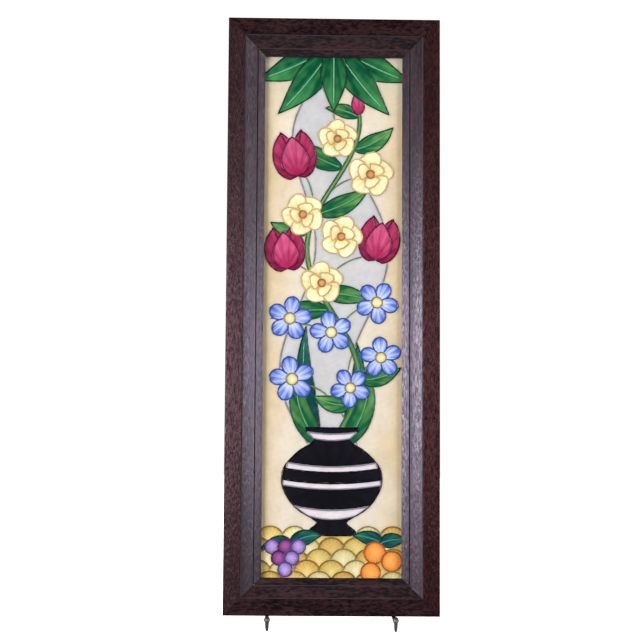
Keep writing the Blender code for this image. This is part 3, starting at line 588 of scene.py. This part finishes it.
def softNoise(gx, gz, size, seed):
    # slow waves of mixed headings, about -1 to 1
    draw = np.random.default_rng(seed)
    total = np.zeros(np.broadcast(gx, gz).shape)
    waves = zip(draw.uniform(0, math.pi, 9), draw.uniform(0, 6.28, 9), draw.uniform(0.6, 1.7, 9))
    for heading, phase, stretch in waves:
        total += np.sin((gx * math.cos(heading) + gz * math.sin(heading)) * 6.28 / (size * stretch) + phase)
    return total / 4.5


def paintGrid(xs, zs, figures, runs):
    # glaze colour at each crossing of the grid
    gx = xs[None, :]
    gz = zs[:, None]
    tones = {name: [np.array(linear(colour)[:3]) for colour in colours] for name, colours in glazes.items()}
    middle, side, high = [np.array(linear(colour)[:3]) for colour in ground]
    drifting = 0.35 * softNoise(gx, gz, 60.0, 5)
    toSide = np.clip((abs(gx) - 30) / 20 + drifting, 0, 1)[..., None]
    toTop = np.clip((gz - 320) / 50 + drifting, 0, 1)[..., None]
    colours = middle * (1 - toSide) + side * toSide
    colours = colours * (1 - toTop) + high * toTop
    draw = np.random.default_rng(11)
    for item in figures:
        if not item["outline"]:
            continue
        px = [point[0] for point in item["outline"]]
        pz = [point[1] for point in item["outline"]]
        i0, i1 = np.searchsorted(xs, (min(px), max(px)))
        k0, k1 = np.searchsorted(zs, (min(pz), max(pz)))
        if i0 == i1 or k0 == k1:
            continue
        part = (slice(k0, k1), slice(i0, i1))
        covered = inside(gx[:, i0:i1], gz[k0:k1], item["outline"])
        rx = gx[:, i0:i1] - item["spot"][0]
        rz = gz[k0:k1] - item["spot"][1]
        share = np.clip(np.hypot(rx, rz) / item["reach"], 0, 1)
        heading = np.arctan2(rz, rx)
        strokes = 0.2 * np.sin(heading * 17 + draw.uniform(0, 6))
        strokes += 0.12 * np.sin(heading * 43 + draw.uniform(0, 6))
        share = share ** (2.0 if item["tone"].startswith("leaf") else 1.3) + strokes * np.clip(share * 2, 0, 1)
        share = np.clip(share + 0.14 * softNoise(gx[:, i0:i1], gz[k0:k1], 9.0, 3), 0, 1)[..., None]
        near, far = tones[item["tone"]][:2]
        tint = (near * (1 - share) + far * share) * draw.uniform(0.9, 1.1)
        colours[part] = np.where(covered[..., None], tint, colours[part])
    away = nearestLine(xs, zs, runs, plaque["pooling"])
    pooled = 0.84 + 0.16 * np.clip(away / plaque["pooling"], 0, 1) ** 0.8
    brushed = 1 + plaque["brushMarks"] * (softNoise(gx, gz, 4.0, 21) + softNoise(gx, gz, 16.0, 8))
    colours = colours * (pooled * brushed)[..., None]
    return np.clip(colours, 0, 1), away


def setGlaze(mesh, colours):
    layer = mesh.color_attributes.new("glaze", "FLOAT_COLOR", "POINT")
    layer.data.foreach_set("color", np.concatenate([colours, np.ones((len(colours), 1))], axis=1).ravel())


def addField(figures, runs):
    # the glazed face as a fine grid, with its hidden edge, sides and back
    width = field["width"] + 2 * plaque["gridMargin"]
    height = field["height"] + 2 * plaque["gridMargin"]
    nx = round(width / plaque["gridStep"])
    nz = round(height / plaque["gridStep"])
    xs = np.linspace(-width / 2, width / 2, nx + 1)
    zs = np.linspace(0, height, nz + 1) - plaque["gridMargin"]
    colours, away = paintGrid(xs, zs, figures, runs)
    rise = plaque["meniscus"] * np.clip(1 - away / 1.8, 0, 1) ** 2
    rise += 0.05 * softNoise(xs[None, :], zs[:, None], 22.0, 31)
    bpy.ops.mesh.primitive_grid_add(x_subdivisions=nx, y_subdivisions=nz, size=1)
    piece = bpy.context.object
    count = len(piece.data.vertices)
    places = np.empty(count * 3)
    piece.data.vertices.foreach_get("co", places)
    places = places.reshape(-1, 3)
    column = np.rint((places[:, 0] + 0.5) * nx).astype(int)
    row = np.rint((places[:, 1] + 0.5) * nz).astype(int)
    places = np.stack([xs[column], zs[row] - field["height"] / 2, rise[row, column]], axis=1) * mm
    piece.data.vertices.foreach_set("co", places.ravel())
    setGlaze(piece.data, colours[row, column])
    bpy.ops.object.mode_set(mode="EDIT")
    bpy.ops.mesh.select_mode(type="EDGE")
    bpy.ops.mesh.select_all(action="DESELECT")
    bpy.ops.mesh.select_non_manifold()
    bpy.ops.mesh.extrude_edges_move()
    outward = ((field["width"] + 2 * plaque["overlap"]) / width,
               (field["height"] + 2 * plaque["overlap"]) / height, 1)
    bpy.ops.transform.resize(value=outward, center_override=(0, 0, 0))
    bpy.ops.mesh.extrude_edges_move(TRANSFORM_OT_translate={"value": (0, 0, -plaque["thickness"] * mm)})
    bpy.ops.transform.resize(value=(1, 1, 0), center_override=(0, 0, -plaque["thickness"] * mm))
    bpy.ops.mesh.edge_face_add()
    bpy.ops.mesh.select_all(action="SELECT")
    bpy.ops.mesh.normals_make_consistent(inside=False)
    bpy.ops.object.mode_set(mode="OBJECT")
    bpy.ops.object.shade_smooth_by_angle(angle=math.radians(40))
    return piece


def addSlipLines(runs):
    # one half sunk round line along each run, trailed by hand, so its thickness wanders
    draw = np.random.default_rng(4)
    made = []
    for colour in sorted({slip for slip, run in runs}):
        curve = bpy.data.curves.new("slip", "CURVE")
        curve.dimensions = "3D"
        curve.bevel_depth = plaque["lineRadius"] * mm
        curve.bevel_resolution = 3
        curve.use_fill_caps = True
        curve.twist_mode = "Z_UP"
        for slip, run in runs:
            if slip != colour:
                continue
            spline = curve.splines.new("POLY")
            spline.points.add(len(run) - 1)
            wave = draw.uniform(0, 6.28, 2)
            for i, (x, z) in enumerate(run):
                wander = (math.sin(i * 0.41 + wave[0]) + math.sin(i * 0.97 + wave[1])) / 2
                fromEnd = min(i, len(run) - 1 - i)
                point = spline.points[i]
                point.co = (x * mm, (z - field["height"] / 2) * mm, plaque["lineRise"] * mm, 1)
                point.radius = (1 + plaque["unevenness"] * wander) * min(1.0, 0.45 + 0.3 * fromEnd)
        piece = bpy.data.objects.new("slip", curve)
        bpy.context.collection.objects.link(piece)
        selectOnly(piece)
        bpy.ops.object.convert(target="MESH")
        piece = bpy.context.object
        bpy.ops.object.shade_smooth()
        setGlaze(piece.data, np.tile(linear(colour)[:3], (len(piece.data.vertices), 1)))
        made.append(piece)
    return made


def glazedCeramic():
    # earthenware, biscuit fired, coloured glazes flooded between trailed slip lines and fired glossy:
    # each glaze pools darker at its edges and its surface is smooth but never flat
    made, tree, shader = newMaterial("colouredGlazeOnEarthenware")
    paint = addNode(tree, "ShaderNodeAttribute", {"attribute_name": "glaze"})
    straight = pictureCoordinates(tree)
    streaks = addNode(tree, "ShaderNodeTexNoise", {"Scale": 1 / (8 * mm), "Detail": 2.0},
                      {"Vector": straight.outputs[0]})
    depth = addNode(tree, "ShaderNodeMapRange", {"From Min": 0.3, "From Max": 0.7, "To Min": 0.94, "To Max": 1.04},
                    {"Value": streaks.outputs[0]})
    tinted = addNode(tree, "ShaderNodeVectorMath", {"operation": "SCALE"},
                     {0: paint.outputs["Color"], "Scale": depth.outputs[0]})
    tree.links.new(tinted.outputs[0], shader.inputs["Base Color"])
    ripple = addNode(tree, "ShaderNodeTexNoise", {"Scale": 1 / (5.5 * mm), "Detail": 1.0},
                     {"Vector": straight.outputs[0]})
    bump = addNode(tree, "ShaderNodeBump", {"Strength": 0.5, "Distance": 0.12 * mm}, {"Height": ripple.outputs[0]})
    tree.links.new(bump.outputs[0], shader.inputs["Normal"])
    shader.inputs["Roughness"].default_value = 0.12
    shader.inputs["IOR"].default_value = 1.52
    shader.inputs["Specular IOR Level"].default_value = 0.22   # mellow gloss, no mirror of the soft boxes
    return made


figures = drawing()
runs = visibleLines(figures, plaque["overlap"] - 1.5)
print("plaque drawn:", len(figures), "figures,", len(runs), "lines")
slab = addField(figures, runs)
lines = addSlipLines(runs)
selectOnly(lines[0])
for piece in lines[1:]:
    piece.select_set(True)
bpy.ops.object.join()
glaze = glazedCeramic()
for piece, name, nodes in ((slab, "glazed_plaque", ["ceramic_plaque"]), (lines[0], "raised_slip_lines", ())):
    piece.data.materials.clear()
    piece.data.materials.append(glaze)
    piece.data.transform(tilt @ Matrix.Translation((0, -plaque["frontDepth"] * mm, stand["frameHeight"] / 2 * mm))
                         @ Matrix.Rotation(math.radians(90), 4, "X"))
    finishPiece(piece, name, nodes)
    print(name, "made:", len(piece.data.polygons), "faces")


easel = {
    "wire": 2.8, "knuckle": 4.4, "ledgeBend": 3.0, "knuckleBend": 2.6,
    "legX": 45.5, "uprightHeight": 190.0, "upperBar": 150.0, "strutLap": 14.0, "strutReach": 78.0,
    "strutBend": 8.0, "strutFoot": 11.0, "lowerBar": 30.0, "gap": 0.3,
    "weldedIn": 0.4,           # the bars' ends run this far into the legs
    "toe": [(0.0, 0.5), (0.15, 1.1), (0.45, 1.6), (1.0, 2.05), (2.6, 2.5)],   # height and thickness at the foot
}


def drawnSteel():
    # cold drawn mild steel wire, oiled and darkened with age: a dark uneven grey, satin
    made, tree, shader = newMaterial("drawnSteelWire")
    coords = addNode(tree, "ShaderNodeTexCoord")
    wear = addNode(tree, "ShaderNodeTexNoise", {"Scale": 1 / (6 * mm), "Detail": 4.0},
                   {"Vector": coords.outputs["Object"]})
    tone = addNode(tree, "ShaderNodeValToRGB", None, {"Fac": wear.outputs[0]},
                   [(0.35, linear("#595855")), (0.7, linear("#797773"))])
    tree.links.new(tone.outputs[0], shader.inputs["Base Color"])
    satin = addNode(tree, "ShaderNodeMapRange", {"To Min": 0.42, "To Max": 0.6}, {"Value": wear.outputs[0]})
    tree.links.new(satin.outputs[0], shader.inputs["Roughness"])
    shader.inputs["Metallic"].default_value = 1.0
    return made


def roundedPath(corners, bends, steps=12):
    points = [Vector(corners[0])]
    for i, bend in enumerate(bends, start=1):
        corner = Vector(corners[i])
        inward = (Vector(corners[i - 1]) - corner).normalized()
        outward = (Vector(corners[i + 1]) - corner).normalized()
        turn = math.pi - inward.angle(outward)
        reach = bend * math.tan(turn / 2)
        centre = corner + (inward + outward).normalized() * (bend / math.cos(turn / 2))
        start = corner + inward * reach - centre
        end = corner + outward * reach - centre
        for k in range(steps + 1):
            share = k / steps
            spoke = (start * math.sin((1 - share) * turn) + end * math.sin(share * turn)) / math.sin(turn)
            points.append(centre + spoke)
    points.append(Vector(corners[-1]))
    return points


def leaning(y, z):
    # a point along the leaning picture, in the easel's upright side view, in mm
    return Vector((y * math.cos(lean) + z * math.sin(lean),
                   stand["floorGap"] / mm - y * math.sin(lean) + z * math.cos(lean)))


def addWire(name, points, thicknesses, material):
    curve = bpy.data.curves.new(name, "CURVE")
    curve.dimensions = "3D"
    curve.bevel_depth = easel["wire"] / 2 * mm
    curve.bevel_resolution = 6
    curve.use_fill_caps = True
    spline = curve.splines.new("POLY")
    spline.points.add(len(points) - 1)
    for control, point, thickness in zip(spline.points, points, thicknesses):
        control.co = (point[0] * mm, point[1] * mm + stand["back"], point[2] * mm, 1)
        control.radius = thickness / easel["wire"]
    piece = bpy.data.objects.new(name, curve)
    bpy.context.collection.objects.link(piece)
    selectOnly(piece)
    bpy.ops.object.convert(target="MESH")
    piece = bpy.context.object
    bpy.ops.object.mode_set(mode="EDIT")
    bpy.ops.mesh.select_all(action="SELECT")
    bpy.ops.mesh.remove_doubles(threshold=0.00001)
    bpy.ops.mesh.normals_make_consistent(inside=False)
    bpy.ops.object.mode_set(mode="OBJECT")
    bpy.ops.object.shade_smooth_by_angle(angle=math.radians(45))
    piece.data.materials.clear()
    piece.data.materials.append(material)
    finishPiece(piece, name + "_wire", [name])


def addEasel():
    e = easel
    steel = drawnSteel()
    offset = e["wire"] / 2 + e["gap"]
    knuckle = leaning(-rail["depth"] - e["gap"] - e["knuckle"] / 2, -offset)
    heel = leaning(e["ledgeBend"], -offset)
    top = leaning(offset, e["uprightHeight"])
    path = roundedPath([(knuckle.x, 0), knuckle, heel, top], (e["knuckleBend"], e["ledgeBend"]))
    leg = [Vector((knuckle.x, height)) for height, thickness in e["toe"]] + path[1:]
    thick = [thickness for height, thickness in e["toe"]]
    for i in range(13):
        thick.append(e["wire"] + (e["knuckle"] - e["wire"]) * math.sin(math.pi * i / 12))
    thick += [e["wire"]] * (len(leg) - len(thick))
    behind = offset + e["wire"] + e["gap"]
    strutTop = leaning(behind, e["uprightHeight"])
    lapEnd = leaning(behind, e["uprightHeight"] - e["strutLap"])
    foot = (strutTop.x + e["strutReach"], 0)
    strut = roundedPath([strutTop, lapEnd, (foot[0], e["strutFoot"]), foot], (e["strutBend"], e["strutBend"]))
    for side, word in ((-1, "left"), (1, "right")):
        x = side * e["legX"]
        addWire("easel_%s_leg" % word, [(x, *point) for point in leg], thick, steel)
        addWire("easel_%s_strut" % word, [(x, *point) for point in strut], [e["wire"]] * len(strut), steel)
    reach = e["legX"] - e["weldedIn"]
    upper = leg[-2].lerp(leg[-1], e["upperBar"] / e["uprightHeight"])
    addWire("easel_upper_bar", [(-reach, *upper), (reach, *upper)], [e["wire"]] * 2, steel)
    joints = [(upper, weld["collar"])]
    for below in weld["lapPlaces"]:
        joints.append((leaning(offset + (e["wire"] + e["gap"]) / 2, e["uprightHeight"] - below), weld["lap"]))
    for start, end in zip(strut, strut[1:]):
        if end.y <= e["lowerBar"] < start.y:
            lower = start.lerp(end, (start.y - e["lowerBar"]) / (start.y - end.y))
            addWire("easel_lower_bar", [(-reach, *lower), (reach, *lower)], [e["wire"]] * 2, steel)
            joints.append((lower, weld["collar"]))
    addWelds(joints)


# half sizes across, along the wires' normal and along them, in mm
weld = {"collar": (0.85, 1.85, 1.85), "lap": (1.3, 1.0, 2.9), "lapPlaces": (3.6, 10.4), "ripple": 0.07}


def weldMetal():
    # beads of mild steel as they cooled, brushed but not ground: duller than the wire and blotched
    made, tree, shader = newMaterial("brushedWeldBead")
    coords = addNode(tree, "ShaderNodeTexCoord")
    scale = addNode(tree, "ShaderNodeTexNoise", {"Scale": 1 / (0.8 * mm), "Detail": 2.0},
                    {"Vector": coords.outputs["Object"]})
    tone = addNode(tree, "ShaderNodeValToRGB", None, {"Fac": scale.outputs[0]},
                   [(0.35, linear("#4A4643")), (0.7, linear("#85807A"))])
    tree.links.new(tone.outputs[0], shader.inputs["Base Color"])
    shader.inputs["Metallic"].default_value = 1.0
    shader.inputs["Roughness"].default_value = 0.55
    return made


def addWelds(joints):
    # one bead at each place where two wires meet, all of them one piece
    beads = []
    for side in (-1, 1):
        for place, size in joints:
            bpy.ops.mesh.primitive_uv_sphere_add(segments=20, ring_count=12, radius=mm)
            bead = bpy.context.object
            bpy.ops.object.mode_set(mode="EDIT")
            bpy.ops.mesh.select_all(action="SELECT")
            bpy.ops.transform.vertex_random(offset=weld["ripple"] * mm, seed=len(beads))
            bpy.ops.transform.resize(value=size, center_override=(0, 0, 0))
            bpy.ops.mesh.normals_make_consistent(inside=False)
            bpy.ops.object.mode_set(mode="OBJECT")
            bpy.ops.object.shade_smooth()
            x = side * (easel["legX"] - (easel["wire"] / 2 + 0.2) * (size == weld["collar"]))
            bead.data.transform(Matrix.Translation((x * mm, place.x * mm + stand["back"], place.y * mm))
                                @ Matrix.Rotation(-lean, 4, "X"))
            beads.append(bead)
            bpy.ops.object.select_all(action="DESELECT")
    selectOnly(beads[0])
    for bead in beads[1:]:
        bead.select_set(True)
    bpy.ops.object.join()
    beads[0].data.materials.append(weldMetal())
    finishPiece(beads[0], "easel_welds")


addEasel()
print("easel made")


def hardboard():
    # wet pressed wood fibre board, brown, its smooth face outward, with fine fibres and a few darker flecks
    made, tree, shader = newMaterial("pressedHardboard")
    straight = pictureCoordinates(tree)
    fibres = addNode(tree, "ShaderNodeTexNoise", {"Scale": 1 / (1.3 * mm), "Detail": 5.0, "Roughness": 0.7},
                     {"Vector": straight.outputs[0]})
    clouds = addNode(tree, "ShaderNodeTexNoise", {"Scale": 1 / (24 * mm), "Detail": 2.0},
                     {"Vector": straight.outputs[0]})
    both = addNode(tree, "ShaderNodeMath", {"operation": "MULTIPLY_ADD", 1: 0.45},
                   {0: clouds.outputs[0], 2: fibres.outputs[0]})
    tone = addNode(tree, "ShaderNodeValToRGB", None, {"Fac": both.outputs[0]},
                   [(0.5, linear("#4E3420")), (0.72, linear("#7A5636")), (0.92, linear("#94704A"))])
    tree.links.new(tone.outputs[0], shader.inputs["Base Color"])
    bump = addNode(tree, "ShaderNodeBump", {"Strength": 0.4, "Distance": 0.08 * mm}, {"Height": fibres.outputs[0]})
    tree.links.new(bump.outputs[0], shader.inputs["Normal"])
    shader.inputs["Roughness"].default_value = 0.62
    return made


def zincPlatedSteel():
    # stamped mild steel with bright zinc plating: cool grey, faintly blotched, fine rolling marks
    made, tree, shader = newMaterial("zincPlatedSteel")
    straight = pictureCoordinates(tree)
    blotches = addNode(tree, "ShaderNodeTexNoise", {"Scale": 1 / (3.5 * mm), "Detail": 3.0},
                       {"Vector": straight.outputs[0]})
    tone = addNode(tree, "ShaderNodeValToRGB", None, {"Fac": blotches.outputs[0]},
                   [(0.3, linear("#A9A9A6")), (0.7, linear("#CFCDC8"))])
    tree.links.new(tone.outputs[0], shader.inputs["Base Color"])
    rolled = addNode(tree, "ShaderNodeMapping", {"Scale": (1 / (6 * mm), 1 / (0.3 * mm), 1 / (0.3 * mm))},
                     {"Vector": straight.outputs[0]})
    marks = addNode(tree, "ShaderNodeTexNoise", {"Scale": 1.0, "Detail": 2.0}, {"Vector": rolled.outputs[0]})
    satin = addNode(tree, "ShaderNodeMapRange", {"To Min": 0.24, "To Max": 0.46}, {"Value": marks.outputs[0]})
    tree.links.new(satin.outputs[0], shader.inputs["Roughness"])
    shader.inputs["Metallic"].default_value = 1.0
    return made


def dress(nodes, material):
    for name in nodes:
        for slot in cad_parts[name].material_slots:
            slot.material = material


screw = {
    "head": 6.0, "headHeight": 1.8, "shank": 2.6, "length": 9.0, "slotWidth": 0.9, "slotDepth": 0.8,
    "seat": 1.6, "across": 63.5, "up": (97.0, 335.0), "turns": (24.0, -52.0, 71.0, 8.0),
}


def addScrew(name, x, z, turn, material):
    # pushed up from its point through the shank to the domed head, ring by ring, then slotted
    s = screw
    rings = [(s["shank"] * 0.15, -s["length"]), (s["shank"] / 2, s["shank"] - s["length"]), (s["shank"] / 2, 0),
             (s["head"] / 2, 0)]
    rings += [(s["head"] / 2 * math.cos(math.radians(t)), s["headHeight"] * math.sin(math.radians(t)))
              for t in (12, 26, 40, 54, 68, 80)]
    bpy.ops.mesh.primitive_circle_add(vertices=40, radius=rings[0][0] * mm, fill_type="NGON")
    piece = bpy.context.object
    bpy.ops.object.mode_set(mode="EDIT")
    bpy.ops.mesh.select_all(action="SELECT")
    bpy.ops.transform.translate(value=(0, 0, rings[0][1] * mm))
    for (radius, height), (wider, higher) in zip(rings, rings[1:]):
        bpy.ops.mesh.extrude_region_move(TRANSFORM_OT_translate={"value": (0, 0, (higher - height) * mm)})
        bpy.ops.transform.resize(value=(wider / radius, wider / radius, 1), center_override=(0, 0, 0))
    bpy.ops.mesh.select_all(action="SELECT")
    bpy.ops.mesh.normals_make_consistent(inside=False)
    bpy.ops.object.mode_set(mode="OBJECT")
    bpy.ops.object.select_all(action="DESELECT")
    bpy.ops.mesh.primitive_cube_add(size=1)
    cutter = bpy.context.object
    cutter.data.transform(Matrix.Translation((0, 0, s["headHeight"] * mm))
                          @ Matrix.Rotation(math.radians(turn), 4, "Z")
                          @ Matrix.Diagonal((2 * s["head"] * mm, s["slotWidth"] * mm, 2 * s["slotDepth"] * mm, 1)))
    selectOnly(piece)
    slot = piece.modifiers.new("slot", "BOOLEAN")
    slot.operation = "DIFFERENCE"
    slot.solver = "EXACT"
    slot.object = cutter
    bpy.ops.object.modifier_apply(modifier="slot")
    bpy.data.objects.remove(cutter)
    bpy.ops.object.shade_smooth_by_angle(angle=math.radians(30))
    piece.data.transform(tilt @ Matrix.Translation((x * mm, s["seat"] * mm, z * mm))
                         @ Matrix.Rotation(math.radians(-90), 4, "X"))
    piece.data.materials.append(material)
    finishPiece(piece, name + "_slotted", [name])


zinc = zincPlatedSteel()
dress(["backing_board"], hardboard())
dress(["retaining_clip_%d" % i for i in range(1, 5)], zinc)
dress(["sawtooth_hanger", "hanger_nail_1", "hanger_nail_2"], zinc)
corners = [(side * screw["across"], z) for side in (-1, 1) for z in screw["up"]]
for number, ((x, z), turn) in enumerate(zip(corners, screw["turns"]), start=1):
    addScrew("clip_screw_%d" % number, x, z, turn, zinc)
print("back dressed")


studio = {
    "floorRadius": 0.6,
    "surround": 0.14,          # what the surfaces see away from the soft boxes
    "boxes": {                 # azimuth and height of the box's middle, distance, width, height, radiance, colour
        "windowLeft": (-50.0, 0.455, 1.2, 0.80, 0.26, 31.0, "#F6F1FF"),
        "windowRight": (55.0, 0.44, 1.2, 0.65, 0.26, 13.0, "#F6F1FF"),
        "windowHigh": (55.0, 0.86, 1.2, 0.60, 0.42, 4.8, "#F4F6FA"),
        "fillLeft": (-62.0, 1.25, 0.95, 0.6, 0.6, 4.1, "#FFFDF8"),
        "fillRight": (62.0, 1.25, 0.95, 0.6, 0.6, 4.1, "#FFFDF8"),
        "fillBack": (180.0, 1.0, 1.3, 0.9, 0.6, 9.0, "#FFFCF4"),
        "fillBackLeft": (-108.0, 0.7, 1.3, 0.6, 0.9, 9.0, "#FFFCF8"),
        "fillBackRight": (108.0, 0.7, 1.3, 0.6, 0.9, 9.0, "#FFFCF8"),
    },
}
view = {
    "azimuth": -1.52, "elevation": 5.45, "distance": 1.599,
    "aim": (-0.0089, -0.01, 0.2149), "roll": 0.66, "lens": 124.1,
}


def addFloor():
    bpy.ops.mesh.primitive_circle_add(vertices=128, radius=studio["floorRadius"], fill_type="NGON")
    floor = bpy.context.object
    floor.name = "studioFloor"
    floor.location.z = -0.0001
    made, tree, shader = newMaterial("whitePaperSweep")   # matt white studio paper, overexposed to the camera
    shader.inputs["Base Color"].default_value = linear("#FAFAFA")
    shader.inputs["Roughness"].default_value = 0.9
    shader.inputs["Emission Color"].default_value = linear("#FFFFFF")
    shader.inputs["Emission Strength"].default_value = 0.9
    felt = addNode(tree, "ShaderNodeBsdfDiffuse", {"Color": linear("#8A8A8C")})
    rays = addNode(tree, "ShaderNodeLightPath")
    mixed = addNode(tree, "ShaderNodeMixShader", None,
                    {0: rays.outputs["Is Camera Ray"], 1: felt.outputs[0], 2: shader.outputs[0]})
    tree.links.new(mixed.outputs[0], tree.nodes["Material Output"].inputs[0])
    floor.data.materials.append(made)
    floor.select_set(False)


def addWorld():
    world = bpy.data.worlds.new("studio")
    bpy.context.scene.world = world
    world.use_nodes = True
    tree = world.node_tree
    tree.nodes.clear()
    seen = addNode(tree, "ShaderNodeBackground", {"Color": (1, 1, 1, 1), "Strength": 1.05})
    felt = addNode(tree, "ShaderNodeBackground", {"Color": (1.0, 0.98, 1.0, 1), "Strength": studio["surround"]})
    rays = addNode(tree, "ShaderNodeLightPath")
    mixed = addNode(tree, "ShaderNodeMixShader", None,
                    {0: rays.outputs["Is Camera Ray"], 1: felt.outputs[0], 2: seen.outputs[0]})
    addNode(tree, "ShaderNodeOutputWorld", None, {"Surface": mixed.outputs[0]})


def addLights():
    aim = Vector((0, 0, 0.24))
    for name, (azimuth, height, distance, width, tall, radiance, colour) in studio["boxes"].items():
        turn = math.radians(azimuth)
        lamp = bpy.data.lights.new(name, "AREA")
        lamp.shape = "RECTANGLE"
        lamp.size = width
        lamp.size_y = tall
        lamp.energy = radiance * math.pi * width * tall
        lamp.color = linear(colour)[:3]
        lampObject = bpy.data.objects.new(name, lamp)
        bpy.context.collection.objects.link(lampObject)
        lampObject.visible_glossy = name.startswith("window")   # the fills are too diffuse to leave a highlight
        place = Vector((distance * math.sin(turn), -distance * math.cos(turn), height))
        facing = (aim - place).to_track_quat("-Z", "Y").to_matrix().to_4x4()
        lampObject.matrix_world = Matrix.Translation(place) @ facing


def addCamera():
    azimuth, elevation = math.radians(view["azimuth"]), math.radians(view["elevation"])
    toCamera = Vector((math.sin(azimuth) * math.cos(elevation), -math.cos(azimuth) * math.cos(elevation),
                       math.sin(elevation)))
    data = bpy.data.cameras.new("photoCamera")
    data.lens = view["lens"]
    data.sensor_width = 36.0
    data.clip_start = 0.05
    data.clip_end = 50.0
    camera = bpy.data.objects.new("photoCamera", data)
    bpy.context.collection.objects.link(camera)
    turned = toCamera.to_track_quat("Z", "Y").to_matrix().to_4x4()
    place = Matrix.Translation(Vector(view["aim"]) + toCamera * view["distance"])
    camera.matrix_world = place @ turned @ Matrix.Rotation(math.radians(view["roll"]), 4, "Z")
    bpy.context.scene.camera = camera


addFloor()
addWorld()
addLights()
addCamera()
bpy.context.scene.view_settings.view_transform = "Standard"
print("studio made")
